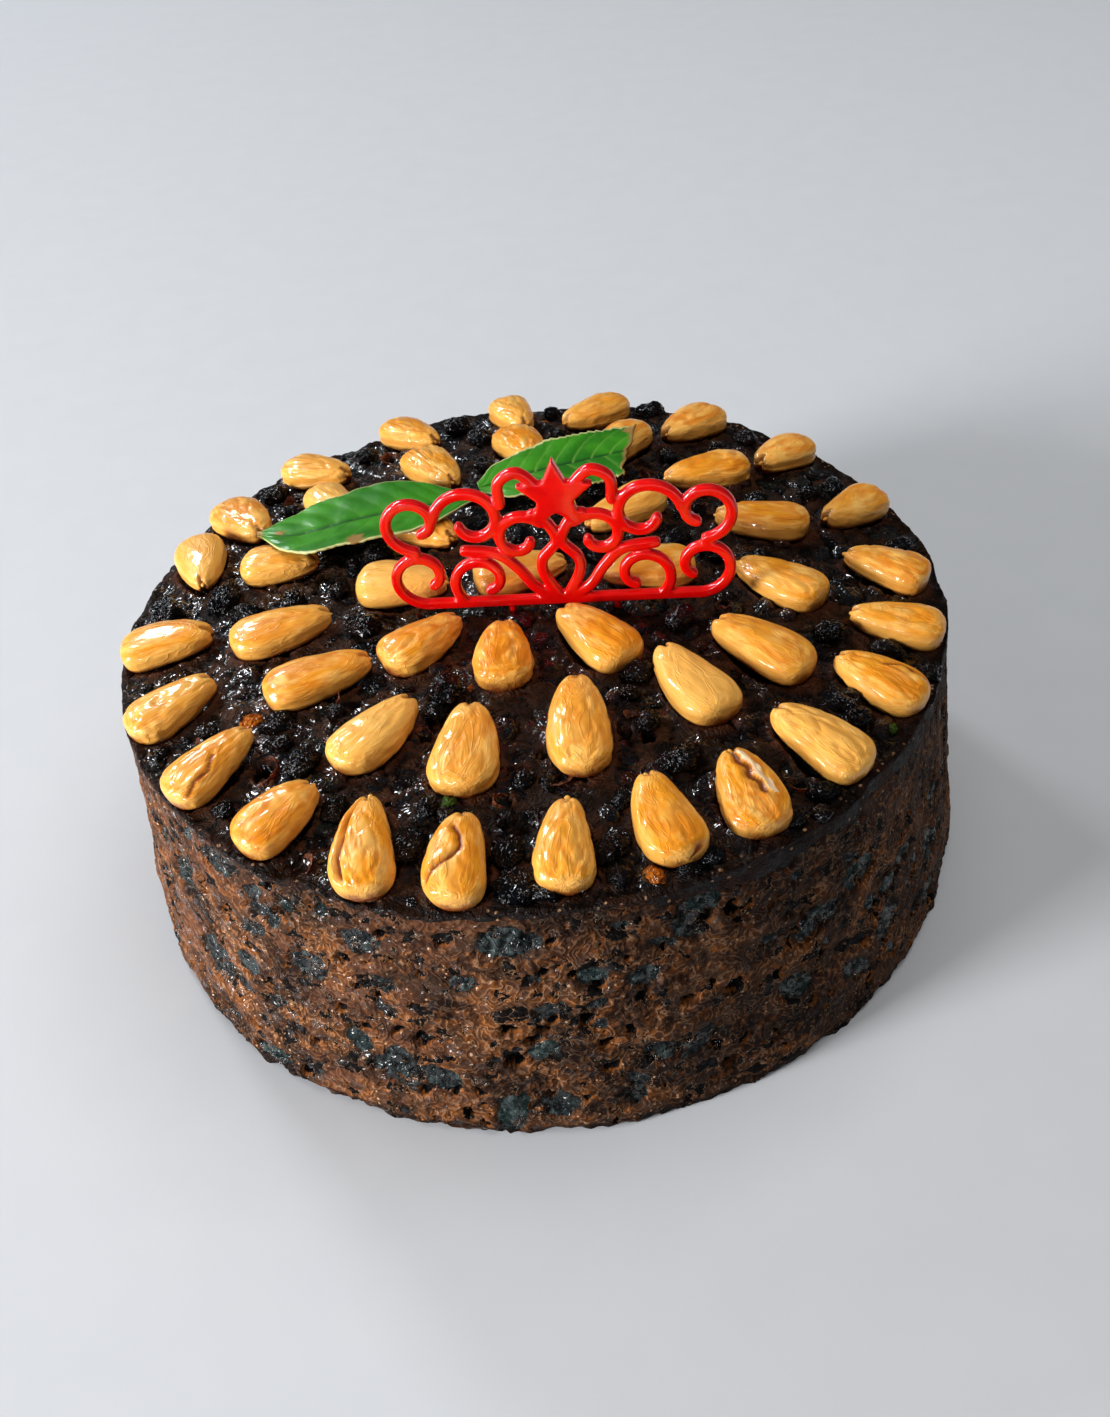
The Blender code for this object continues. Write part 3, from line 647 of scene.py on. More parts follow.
def hand_over(obj: Object, slot: str, *nodes: str) -> Object:
    """Makes a piece ride on the cake and stand for nodes of the frame, and logs it.

    Args:
        obj: the piece.
        slot: not used.
        nodes: the nodes that it replaces.
    Returns:
        The piece.
    """
    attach(obj, "root")
    if nodes:
        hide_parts(*nodes)
    log.info("%s: %d points, %d faces", obj.name, len(obj.data.vertices), len(obj.data.polygons))
    return obj


def smooth(values: Array | float) -> Array:
    """A smooth step of values clamped to 0 to 1."""
    clamped = np.clip(values, 0, 1)
    return clamped * clamped * (3 - 2 * clamped)


def bell(away: Array, width: float) -> Array:
    """1 at a distance of 0, falling to 0 a few widths away."""
    return np.exp(-((away / width) ** 2))


def sampled(points: Array, size: float, octaves: int = 1, seed: float = 0.0) -> Array:
    """Noise from about -1 to 1 at every point.

    Args:
        points: one row for each point.
        size: the size of its lumps.
        octaves: how many layers of finer lumps it has.
        seed: shifts it to another part of the noise.
    Returns:
        One value for each point.
    """
    shift = np.array((seed, seed * 0.7, -seed))
    spots = (points / size + shift).tolist()
    if octaves == 1:
        return np.array([noise.noise(p) for p in spots])
    return np.array([noise.fractal(p, 0.9, 2.1, octaves) for p in spots])


def creases(
    points: Array, size: float, sharpness: float = 3.0, seed: float = 0.0, warp: float = 0.35,
) -> Array:
    """Winding lines at every point: 1 along them, 0 on the skin between them.

    Args:
        points: one row for each point.
        size: the distance between lines.
        sharpness: how narrow they are.
        seed: shifts them to another part of the noise.
        warp: how much they wind.
    Returns:
        One value for each point.
    """
    bend = np.stack([sampled(points, size * 1.7, seed=seed + k) for k in range(3)], axis=1)
    flow = sampled(points + bend * size * warp, size, seed=seed)
    return np.clip(1 - np.abs(flow) * sharpness, 0, 1) ** 2


def outward(angles: Array) -> Array:
    """A level unit vector at each angle."""
    return np.column_stack([np.cos(angles), np.sin(angles), np.zeros(len(angles))])


def chance_spot(rng: random.Random, radius: float) -> tuple[float, float]:
    """A place drawn from a disc round the origin, evenly over its area."""
    away = radius * math.sqrt(rng.random())
    angle = rng.uniform(0, math.tau)
    return away * math.cos(angle), away * math.sin(angle)


def eased(before: float, start: float, end: float, after: float, part: float) -> float:
    """Follows a smooth curve from a start to an end.

    Args:
        before: the value before the start.
        start: the value at the start.
        end: the value at the end.
        after: the value after the end.
        part: how far along, from 0 to 1.
    Returns:
        The value there.
    """
    bend = 2 * before - 5 * start + 4 * end - after
    twist = 3 * start - before - 3 * end + after
    return start + (end - before) * part / 2 + bend * part**2 / 2 + twist * part**3 / 2


def tube_faces(rows: int, columns: int, first: int, final: int) -> Faces:
    """Faces of a tube of points numbered row by row, with a point that closes each end.

    Args:
        rows: how many rings of points there are.
        columns: how many points a ring has.
        first: the number of the point that closes the first ring.
        final: the number of the point that closes the last ring.
    Returns:
        Point numbers of each face, outwards for rings that rise.
    """
    faces = []
    for j in range(rows - 1):
        for k in range(columns):
            n = (k + 1) % columns
            low, high = j * columns, (j + 1) * columns
            faces.append((low + k, low + n, high + n, high + k))
    last = (rows - 1) * columns
    for k in range(columns):
        n = (k + 1) % columns
        faces += [(first, n, k), (final, last + k, last + n)]
    return faces


def sheet_faces(rows: int, columns: int) -> Faces:
    """Faces of a thin closed sheet, with the points of one side numbered row by row and then the other's.

    Args:
        rows: how many rows of faces a side has.
        columns: how many faces a row has.
    Returns:
        Point numbers of each face.
    """
    width = columns + 1
    half = (rows + 1) * width
    faces = []
    for i in range(rows):
        for j in range(columns):
            a, b = i * width + j, (i + 1) * width + j
            faces += [(a, a + 1, b + 1, b), (half + a, half + b, half + b + 1, half + a + 1)]
    loop = [i * width for i in range(rows)] + [rows * width + j for j in range(columns)]
    loop += [i * width + columns for i in range(rows, 0, -1)] + list(range(columns, 0, -1))
    return faces + [(a, b, half + b, half + a) for a, b in zip(loop, loop[1:] + loop[:1])]


def turned_over(faces: Faces) -> Faces:
    """The same faces, pointing the other way."""
    return [face[:1] + face[:0:-1] for face in faces]


def renumbered(faces: Faces, start: int) -> Faces:
    """The same faces on points numbered from a start."""
    return [tuple(start + point for point in face) for face in faces]


def surface_of(mesh: Mesh) -> BVHTree:
    """A mesh as a surface on which places can be found."""
    return BVHTree.FromPolygons([v.co for v in mesh.vertices], [tuple(p.vertices) for p in mesh.polygons])


@dataclass(frozen=True)
class NutFrame:
    """How an almond lies: its middle, its axes (tip along X, up along Z) and its full sizes."""

    middle: Array
    axes: Array
    size: Array

    @classmethod
    def of_node(cls, name: str) -> "NutFrame":
        """Measures an almond of the frame.

        Args:
            name: the node.
        Returns:
            Its frame.
        """
        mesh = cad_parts[name].data
        points = np.unique(np.round([v.co for v in mesh.vertices], 7), axis=0)
        middle = points.mean(axis=0)
        _, _, axes = np.linalg.svd(points - middle, full_matrices=False)
        if axes[2][2] < 0:
            axes[2] = -axes[2]
        local = (points - middle) @ axes.T
        if (np.abs(local[:, 1]) * local[:, 0]).sum() > 0:
            axes[0] = -axes[0]
        axes[1] = np.cross(axes[2], axes[0])
        local = (points - middle) @ axes.T
        low, high = local.min(axis=0), local.max(axis=0)
        return cls(middle + (low + high) / 2 @ axes, axes, high - low)

    def place(self, local: Array) -> Array:
        """Points given along the almond's own axes, in the cake's frame."""
        return self.middle + local @ self.axes

    def metric(self, spots: Array) -> Array:
        """How far plan places are from the almond's outline, in metres, below 0 inside it.

        Args:
            spots: one row for each place.
        Returns:
            One distance for each place.
        """
        away = spots - self.middle[:2]
        along = away @ self.axes[0][:2] / (self.size[0] / 2)
        across = away @ self.axes[1][:2] / (self.size[1] / 2)
        across = across / (1 - 0.27 * np.clip(along, -1, 1))
        return (np.hypot(along, across) - 1) * self.size[1] / 2


@dataclass(frozen=True)
class Oval:
    """An uneven oval mark on the cake, such as a raisin or a hole.

    Its middle is a place on the plan for the top, and the distance round and the height for the side. Its
    reach is half its length, and its slimness is its width over its length.
    """

    x: float
    y: float
    reach: float
    slim: float
    turn: float
    depth: float
    tone: float = 0.0

    def metric(self, x: Array, y: Array) -> Array:
        """0 at the middle and 1 on the outline."""
        away_x, away_y = x - self.x, y - self.y
        along = away_x * math.cos(self.turn) + away_y * math.sin(self.turn)
        across = away_y * math.cos(self.turn) - away_x * math.sin(self.turn)
        return np.hypot(along / self.reach, across / (self.reach * self.slim))


@dataclass(frozen=True)
class Lump:
    """A raisin that stands out of the crust: its middle on the plan, its top, its turn and its length."""

    x: float
    y: float
    top: float
    turn: float
    long: float


@dataclass
class CakeForm:
    """The cake's large form, taken from the frame's own solids: side, rim, dome, almonds and raisins."""

    top_x: float = -0.22 * MM
    top_y: float = 3.29 * MM
    top_radius: float = 100 * MM
    side_height: float = 62.5 * MM
    dome_rise: float = 7.5 * MM
    dome_power: float = 2.2
    raisin_stand: float = 0.35 * MM
    raisin_limit: float = 16 * MM
    raisin_ring: float = 0.62 * 0.97
    far: float = 200 * MM

    def __post_init__(self) -> None:
        """Reads the frame's cake and almonds."""
        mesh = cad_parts["cake"].data
        points = [v.co.copy() for v in mesh.vertices]
        self.surface = surface_of(mesh)
        self.middle = Vector((self.top_x, self.top_y, 0))
        high = [p - self.middle for p in points if p.z > 60 * MM]
        rim = [p for p in high if p.to_2d().length > 0.985 * self.top_radius]
        rim.sort(key=lambda p: math.atan2(p.y, p.x))
        self.rim_angles = np.array([math.atan2(p.y, p.x) for p in rim])
        self.rim_heights = np.array([p.z for p in rim])
        names = sorted(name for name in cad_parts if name.startswith("almond"))
        self.nuts = {name: NutFrame.of_node(name) for name in names}
        self.lumps = self._lumps()

    def _lumps(self) -> list[Lump]:
        """Finds the raisins: points that stand well above all their neighbours."""
        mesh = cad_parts["cake"].data
        points = np.array([v.co for v in mesh.vertices])
        keys = {}
        same = [keys.setdefault(tuple(np.round(p, 6)), len(keys)) for p in points]
        unique = np.array(list(keys))
        neighbours: dict[int, set[int]] = {}
        for edge in mesh.edges:
            a, b = (same[v] for v in edge.vertices)
            if a != b:
                neighbours.setdefault(a, set()).add(b)
                neighbours.setdefault(b, set()).add(a)
        found = []
        for k, around in neighbours.items():
            ring = unique[sorted(around)]
            stand = (unique[k][2] - ring[:, 2]).min()
            if len(around) != 6 or unique[k][2] < 62 * MM or stand < self.raisin_stand:
                continue
            middle = ring[:, :2].mean(axis=0)
            _, _, turned = np.linalg.svd(ring[:, :2] - middle, full_matrices=False)
            long = 2 * np.abs((ring[:, :2] - middle) @ turned[0]).max() / self.raisin_ring
            if long > self.raisin_limit:
                continue
            turn = math.atan2(turned[0][1], turned[0][0])
            found.append(Lump(middle[0], middle[1], unique[k][2], turn, long))
        return found

    def rim_height(self, angles: Array) -> Array:
        """Height of the top edge at each angle."""
        wrapped = (angles + math.pi) % math.tau - math.pi
        return np.interp(wrapped, self.rim_angles, self.rim_heights, period=math.tau)

    def dome(self, spots: Array) -> Array:
        """Height of the smooth top at plan places measured from its middle."""
        out = np.clip(np.hypot(*spots.T) / self.top_radius, 0, 1)
        return self.side_height + self.dome_rise * (1 - out**self.dome_power)

    def skirt(self, angles: Array) -> Array:
        """How far the dark glaze runs down over the rim at each angle."""
        ring = outward(angles)
        run = smooth((np.cos(angles + math.radians(42)) - 0.72) / 0.2)
        wide = sampled(ring, 0.16, seed=3.0)
        fine = sampled(ring, 0.035, 2, seed=9.0)
        length = 1.0 + 5.2 * run * (0.7 + 0.5 * wide) + 1.6 * np.clip(wide - 0.1, 0, 1)
        return np.clip(length + 0.7 * fine * (0.5 + run), 0.5, 9) * MM

    def side_reach(self, angle: float, height: float) -> float:
        """Distance of the side from the cake's leaning middle line, at an angle and a height."""
        middle = self.middle * min(height / self.side_height, 1) + Vector((0, 0, height))
        out = Vector((math.cos(angle), math.sin(angle), 0))
        hit = self.surface.ray_cast(middle + out * self.far, -out)[0]
        return (hit - middle).length if hit is not None else self.top_radius

    def free_of_nuts(self, x: float, y: float, room: float) -> bool:
        """Whether a plan place of the frame lies clear of all almonds."""
        spot = np.array([[x, y]])
        return all(nut.metric(spot)[0] > room for nut in self.nuts.values())


@dataclass
class CrumbBody:
    """The side and base of the cake: crumb with holes, and raisins pressed flat against the tin."""

    form: CakeForm
    columns: int = 1040
    rows: int = 88
    hole_count: int = 760
    fruit_count: int = 230
    mean_radius: float = 103 * MM
    round_length: float = math.tau * mean_radius
    seed: int = 5

    def build(self) -> Object:
        """Makes the piece."""
        angles = np.linspace(0, math.tau, self.columns, endpoint=False)
        heights = self.form.rim_height(angles) - 0.9 * MM
        parts = np.linspace(0, 1, self.rows)
        base, flat = [], []
        for part in parts:
            for angle, height in zip(angles, heights):
                z = max(height * part, 0.05 * MM)
                reach = self.form.side_reach(angle, z)
                lean = min(z / self.form.side_height, 1)
                x = self.form.middle.x * lean + reach * math.cos(angle)
                y = self.form.middle.y * lean + reach * math.sin(angle)
                base.append((x, y, height * part))
                flat.append((angle * self.mean_radius, height * part))
        base, flat = np.array(base), np.array(flat)
        turns = np.tile(angles, self.rows)
        away, marks = self.relief(base, flat)
        limit = np.tile(heights - self.form.skirt(angles), self.rows)
        away -= 0.75 * MM * smooth((flat[:, 1] - limit - 0.9 * MM) / (1.4 * MM))
        points = base + outward(turns) * away[:, None]
        cap = points[-self.columns:].mean(axis=0) + np.array([0, 0, 1.5 * MM])
        faces = tube_faces(self.rows, self.columns, len(points), len(points) + 1)
        points = np.concatenate([points, [[0, 0, 0]], [cap]])
        marks = {name: np.concatenate([values, [0, 0]]) for name, values in marks.items()}
        obj = mesh_object("crumb_body", points, faces, CrumbFinish().material(), marks)
        return hand_over(obj, "crust", "cake")

    def relief(self, base: Array, flat: Array) -> tuple[Array, Marks]:
        """How far the side stands out at each point, and its marks.

        Args:
            base: the plain side's points.
            flat: their places on the unrolled side.
        Returns:
            The distances, and the marks by name.
        """
        rng = random.Random(self.seed)
        height = flat[:, 1] / self.form.side_height
        away = 0.40 * MM * sampled(base, 12 * MM) + 0.30 * MM * sampled(base, 3.4 * MM, 3, seed=3)
        cracks = np.maximum(creases(base, 3.6 * MM, 3.4, seed=7), 0.8 * creases(base, 2.1 * MM, 3.0, seed=17))
        cracks *= smooth(0.45 + 1.6 * sampled(base, 9 * MM, seed=27))
        away -= 0.60 * MM * cracks
        fruit, hole, tone = np.zeros(len(base)), np.zeros(len(base)), np.zeros(len(base))
        ragged = sampled(base, 1.9 * MM, 2, seed=11)
        skin = creases(base, 2.4 * MM, 2.4, seed=21)
        for _ in range(self.fruit_count):
            reach = rng.uniform(1.6, 6.4) * MM * rng.uniform(0.7, 1.1)
            oval = Oval(
                rng.uniform(0, self.round_length), rng.uniform(0.04, 0.95) * self.form.side_height, reach,
                rng.uniform(0.45, 0.8), rng.gauss(0, 0.5), rng.uniform(0.0, 0.9) * MM, rng.random(),
            )
            near, metric = self.near(oval, flat, ragged, 0.28)
            inside = smooth((1.06 - metric) / 0.14)
            fruit[near] = np.maximum(fruit[near], inside)
            tone[near] = np.where(inside > 0.3, oval.tone, tone[near])
            groove = bell(metric - 1.02, 0.12)
            cracks[near] = np.where(inside > 0.3, 0.5 * skin[near], np.maximum(cracks[near], groove))
            away[near] -= oval.depth * inside + 0.50 * MM * groove + 0.60 * MM * inside * skin[near]
        for _ in range(self.hole_count):
            reach = (0.45 + 2.0 * rng.random() ** 3.0) * MM
            oval = Oval(
                rng.uniform(0, self.round_length), rng.uniform(0.02, 0.97) * self.form.side_height, reach,
                rng.uniform(0.4, 0.95), rng.gauss(0, 0.6), rng.uniform(1.0, 1.7) * reach,
            )
            near, metric = self.near(oval, flat, ragged, 0.40)
            away[near] -= oval.depth * smooth((1.12 - metric) / 0.5)
            hole[near] = np.maximum(hole[near], smooth((1.02 - metric) / 0.3))
        ragged_base = sampled(base, 4.5 * MM, 2, seed=31)
        away -= 1.2 * MM * smooth((0.04 - height) / 0.04) * (0.6 + 0.9 * ragged_base)
        return away, {"fruit": fruit, "hole": hole, "tone": tone, "crevice": np.clip(cracks, 0, 1)}

    def near(self, oval: Oval, flat: Array, ragged: Array, unevenness: float) -> Pair:
        """Finds the side's points near an oval.

        Args:
            oval: the oval.
            flat: the points' places on the unrolled side.
            ragged: noise at the points.
            unevenness: how much of the noise bends the outline.
        Returns:
            The points' numbers, and how far each is from the oval's middle.
        """
        x = (flat[:, 0] - oval.x + self.round_length / 2) % self.round_length + oval.x - self.round_length / 2
        reach = oval.reach * 2
        near = np.flatnonzero((np.abs(x - oval.x) < reach) & (np.abs(flat[:, 1] - oval.y) < reach))
        metric = oval.metric(x[near], flat[near, 1]) + unevenness * ragged[near]
        return near, metric


HOLES = (
    (-60.9, -53.4, 3.2), (-51.8, -80.5, 2.0), (-25.5, -50.0, 1.6), (22.8, -58.1, 1.7), (0.7, -60.0, 1.2),
    (20.6, -51.0, 1.3), (52.8, -73.7, 2.1), (-9.2, -71.4, 1.9), (-47.0, -33.9, 1.8), (2.8, -67.0, 1.6),
)
AMBER_BITS = ((-65.5, -36.5, 6.5, 30), (19.3, -93.8, 6.2, 120))
GREEN_BITS = ((-20.6, -71.0, 4.5, 60),)
LARGE_FRUIT = (
    (-58.4, -38.5, 11.5, 23), (-85.6, -41.2, 5.8, 44), (-45.0, -66.9, 9.0, 75), (-30.1, -79.9, 12.2, 81),
    (-21.0, -74.0, 6.8, 88), (-9.4, -84.0, 11.1, 78), (-7.6, -92.6, 14.6, 4), (-36.5, -29.9, 9.1, 46),
    (-22.4, -43.0, 8.0, 96), (0.4, -68.0, 6.5, 78), (22.9, -38.3, 9.2, 34), (66.5, -50.5, 13.9, -46),
    (28.5, -64.4, 12.5, 20), (12.9, -92.9, 8.1, 57), (56.9, -75.6, 8.6, 20), (80.3, -34.3, 8.9, -17),
    (10.0, -87.6, 8.2, 92), (31.5, -91.0, 6.2, 18), (15.7, -74.3, 7.5, 59), (41.2, 89.5, 10.5, -11),
    (49.1, -83.0, 6.9, 30), (13.0, -85.5, 8.3, 88), (-1.9, -95.5, 7.8, 10), (27.0, -92.6, 7.0, 23),
    (55.3, -82.0, 6.3, 39), (66.0, -70.5, 7.0, 45), (79.4, -50.5, 8.4, 56),
)


@dataclass
class CrustTop:
    """The glazed top: a thin crust with flush raisins, holes with crisp rims, and glaze run over its edge."""

    form: CakeForm
    columns: int = 1040
    spacing: float = 0.66 * MM
    skirt_rows: int = 10
    fruit_tries: int = 900
    hole_count: int = 46
    pock_count: int = 240
    fruit_margin: float = 2.5 * MM
    hole_margin: float = 4 * MM
    below_rim: float = 1.2 * MM
    seed: int = 8
    holes: list[Oval] = field(default_factory=list)

    def build(self) -> Object:
        """Makes the piece."""
        self.rng = random.Random(self.seed)
        angles = np.linspace(-math.pi, math.pi, self.columns, endpoint=False)
        edge = self.edge(angles)
        plan = np.concatenate([edge, self.spots(angles, edge)])
        heights, marks = self.relief(plan)
        flat = [Vector(p) for p in (plan / MM).tolist()]
        loop = [(k, (k + 1) % self.columns) for k in range(self.columns)]
        _, _, faces, sources, _, _ = delaunay_2d_cdt(flat, loop, [], 1, 0.00001)
        faces = [[sources[v][0] for v in face] for face in faces]
        middle = np.array(self.form.middle)
        points = np.column_stack([plan + middle[:2], heights])
        rings = self.skirt_rings(angles, edge, heights[: self.columns])
        start = len(points)
        points = np.concatenate([points, rings, [middle + np.array([0, 0, 60 * MM])]])
        for j in range(self.skirt_rows):
            upper = 0 if j == 0 else start + (j - 1) * self.columns
            lower = start + j * self.columns
            for k in range(self.columns):
                n = (k + 1) % self.columns
                faces.append((upper + k, lower + k, lower + n, upper + n))
        under = start + (self.skirt_rows - 1) * self.columns
        for k in range(self.columns):
            faces.append((len(points) - 1, under + (k + 1) % self.columns, under + k))
        full = {}
        for name, values in marks.items():
            rest = np.tile(values[: self.columns] * (0 if name == "hole" else 1), self.skirt_rows)
            full[name] = np.concatenate([values, rest, [0]])
        out = np.hypot(*plan.T) / self.form.top_radius
        full["run"] = np.concatenate([smooth((out - 0.972) / 0.024), np.ones(len(rings) + 1)])
        obj = mesh_object("crust_top", points, faces, GlazedCrustFinish().material(), full)
        return hand_over(obj, "crust", "cake")

    def edge(self, angles: Array) -> Array:
        """The uneven outline of the top, from its middle."""
        ring = outward(angles)
        reach = np.array([self.form.side_reach(a, self.form.side_height - self.below_rim) for a in angles])
        reach += MM * (0.30 + 0.45 * sampled(ring, 0.07, 2, seed=2.0) + 0.25 * sampled(ring, 0.018, seed=4.0))
        return ring[:, :2] * reach[:, None]

    def spots(self, angles: Array, edge: Array) -> Array:
        """Evenly scattered plan places inside the outline."""
        row_step = self.spacing * math.sqrt(3) / 2
        count = int(self.form.top_radius * 1.02 / row_step) + 2
        spots = []
        for j in range(-count, count + 1):
            for i in range(-count, count + 1):
                x = (i + (j % 2) / 2) * self.spacing + self.rng.uniform(-0.2, 0.2) * self.spacing
                y = j * row_step + self.rng.uniform(-0.2, 0.2) * self.spacing
                spots.append((x, y))
        spots = np.array(spots)
        turns = np.arctan2(spots[:, 1], spots[:, 0])
        reach = np.interp(turns, angles, np.hypot(*edge.T), period=math.tau)
        return spots[np.hypot(*spots.T) < reach - 0.75 * self.spacing]

    def skirt_rings(self, angles: Array, edge: Array, heights: Array) -> Array:
        """Carries the crust over the rim and tucks its lower edge in.

        Args:
            angles: the angle of each point of a ring.
            edge: the outline of the top, from its middle.
            heights: the outline's heights.
        Returns:
            The points of all rings, from the top one down.
        """
        length = self.form.skirt(angles)
        rings = []
        for j in range(1, self.skirt_rows + 1):
            part = min(j / (self.skirt_rows - 2), 1.0)
            z = heights - length * part - 0.15 * MM
            proud = (0.42 - 0.22 * part) * MM
            if j == self.skirt_rows - 1:
                proud, z = -0.25 * MM, z - 0.25 * MM
            if j == self.skirt_rows:
                proud, z = -1.6 * MM, z + 0.1 * MM
            ring = []
            for k, (angle, height) in enumerate(zip(angles, z)):
                side = self.form.side_reach(angle, min(height, self.form.side_height - self.below_rim))
                rim = math.hypot(*edge[k])
                spot = Vector((math.cos(angle), math.sin(angle), height * 10)) / (25 * MM)
                reach = side + proud + 0.34 * MM * noise.fractal(spot, 0.9, 2.1, 2) * min(1, j / 3)
                if j < 3:
                    reach = max(reach, rim) if j == 1 else (reach + max(reach, rim)) / 2
                ring.append((reach * math.cos(angle), reach * math.sin(angle), height))
            ring = np.array(ring)
            lean = np.clip(ring[:, 2] / self.form.side_height, 0, 1)[:, None]
            ring[:, :2] += np.array(self.form.middle)[:2] * lean
            rings.append(ring)
        return np.concatenate(rings)

    def raisins_in_crust(self) -> list[Oval]:
        """Flush raisins that don't run into each other, the largest first."""
        found: list[Oval] = []
        for k in range(self.fruit_tries):
            late = k / self.fruit_tries
            reach = self.rng.uniform(2.6, 5.4) * MM * (1 - 0.55 * late)
            x, y = chance_spot(self.rng, self.form.top_radius - self.fruit_margin)
            if any(math.hypot(x - o.x, y - o.y) < (reach + o.reach) * 0.80 for o in found):
                continue
            rise = self.rng.choice((-0.25, 0.1, 0.5, 1.0, 1.5)) * MM
            slim = self.rng.uniform(0.55, 0.85)
            found.append(Oval(x, y, reach, slim, self.rng.uniform(0, math.pi), -rise, self.rng.random()))
        return found

    def relief(self, spots: Array) -> tuple[Array, Marks]:
        """Shapes the crust.

        Args:
            spots: plan places measured from the top's middle.
        Returns:
            The height at each, and the marks by name.
        """
        ground = np.column_stack([spots, np.zeros(len(spots))])
        out = np.hypot(*spots.T) / self.form.top_radius
        turns = np.arctan2(spots[:, 1], spots[:, 0])
        rim = self.form.rim_height(turns)
        height = self.form.dome(spots) + (rim - self.form.side_height) * smooth((out - 0.85) / 0.15)
        height += 0.60 * MM * sampled(ground, 17 * MM) + 0.55 * MM * sampled(ground, 6.5 * MM, 2, seed=2)
        rough = 0.40 + 0.60 * smooth((30 * MM - spots[:, 0]) / (80 * MM))
        height += 0.30 * MM * rough * sampled(ground, 2.6 * MM, 2, seed=4)
        leather = creases(ground, 1.7 * MM, 2.4, seed=44)
        cracks = creases(ground, 4.6 * MM, 3.4, seed=47) * rough
        cracks *= smooth(0.5 + 1.5 * sampled(ground, 12 * MM, seed=29))
        height -= 0.16 * MM * rough * leather + 0.55 * MM * cracks
        cracks = np.maximum(cracks, 0.35 * leather)
        fruit, tone = np.zeros(len(spots)), np.zeros(len(spots))
        hole, lip = np.zeros(len(spots)), np.zeros(len(spots))
        ragged = sampled(ground, 1.8 * MM, 2, seed=70)
        wrinkle = creases(ground, 2.5 * MM, 2.4, seed=50)
        fine = creases(ground, 1.3 * MM, 2.6, seed=55)
        for oval in self.raisins_in_crust():
            near, metric = self.near(oval, spots, ragged, 0.16)
            inside = smooth((1.06 - metric) / 0.16)
            fruit[near] = np.maximum(fruit[near], inside)
            tone[near] = np.where(inside > 0.3, oval.tone, tone[near])
            swell = -oval.depth * inside * (1 - 0.45 * np.clip(metric, 0, 1) ** 2)
            groove = bell(metric - 1.06, 0.13)
            skin = np.maximum(wrinkle[near], 0.7 * fine[near])
            cracks[near] = np.where(inside > 0.3, 0.6 * skin, np.maximum(cracks[near], groove))
            height[near] += swell - 0.60 * MM * groove - inside * 0.60 * MM * skin
        for oval in self.holes_in_crust():
            near, metric = self.near(oval, spots, ragged, 0.24)
            height[near] -= oval.depth * smooth((1.1 - metric) / 0.5)
            ring = bell(metric - 1.22, 0.20) * smooth(0.55 + ragged[near])
            height[near] += min(0.55 * MM, oval.reach * 0.35) * ring
            hole[near] = np.maximum(hole[near], smooth((1.0 - metric) / 0.3))
            lip[near] = np.maximum(lip[near], 0.75 * ring * (oval.reach > 0.8 * MM))
        self.bed_almonds(spots, height, lip)
        torn = smooth(0.55 + 1.2 * sampled(outward(turns), 0.11, 2, seed=6.0))
        border = smooth((out - 0.978) / 0.016) * torn
        height += 0.70 * MM * border
        lip = np.maximum(lip, 0.30 * border * smooth((out - 0.992) / 0.006))
        height = np.minimum(height, CAD_BOX[1].z)
        marks = {"fruit": fruit * (1 - hole), "tone": tone, "hole": hole}
        return height, marks | {"lip": np.clip(lip, 0, 1), "crevice": np.clip(cracks, 0, 1)}

    def holes_in_crust(self) -> list[Oval]:
        """Open holes and small pocks."""
        holes = []
        for x, y, reach in HOLES:
            turn, slim = self.rng.uniform(0, math.pi), self.rng.uniform(0.75, 1.0)
            holes.append(Oval(x * MM, y * MM, reach * MM, slim, turn, 1.25 * reach * MM))
        for k in range(self.hole_count + self.pock_count):
            big = k < self.hole_count
            reach = (self.rng.uniform(0.9, 2.2) if big else self.rng.uniform(0.3, 0.7)) * MM
            spot = chance_spot(self.rng, self.form.top_radius - self.hole_margin)
            turn, slim = self.rng.uniform(0, math.pi), self.rng.uniform(0.5, 1.0)
            hole = Oval(*spot, reach, slim, turn, self.rng.uniform(0.9, 1.4) * reach)
            middle = self.form.middle
            if not big or self.form.free_of_nuts(spot[0] + middle.x, spot[1] + middle.y, reach):
                holes.append(hole)
        self.holes = [hole for hole in holes if hole.reach > 1.1 * MM]
        return holes

    @staticmethod
    def near(oval: Oval, spots: Array, ragged: Array, unevenness: float) -> Pair:
        """Finds the top's points near an oval.

        Args:
            oval: the oval.
            spots: the points' plan places.
            ragged: noise at the points.
            unevenness: how much of the noise bends the outline.
        Returns:
            The points' numbers, and how far each is from the oval's middle.
        """
        reach = oval.reach * 1.9
        close = (np.abs(spots[:, 0] - oval.x) < reach) & (np.abs(spots[:, 1] - oval.y) < reach)
        near = np.flatnonzero(close)
        return near, oval.metric(spots[near, 0], spots[near, 1]) + unevenness * ragged[near]

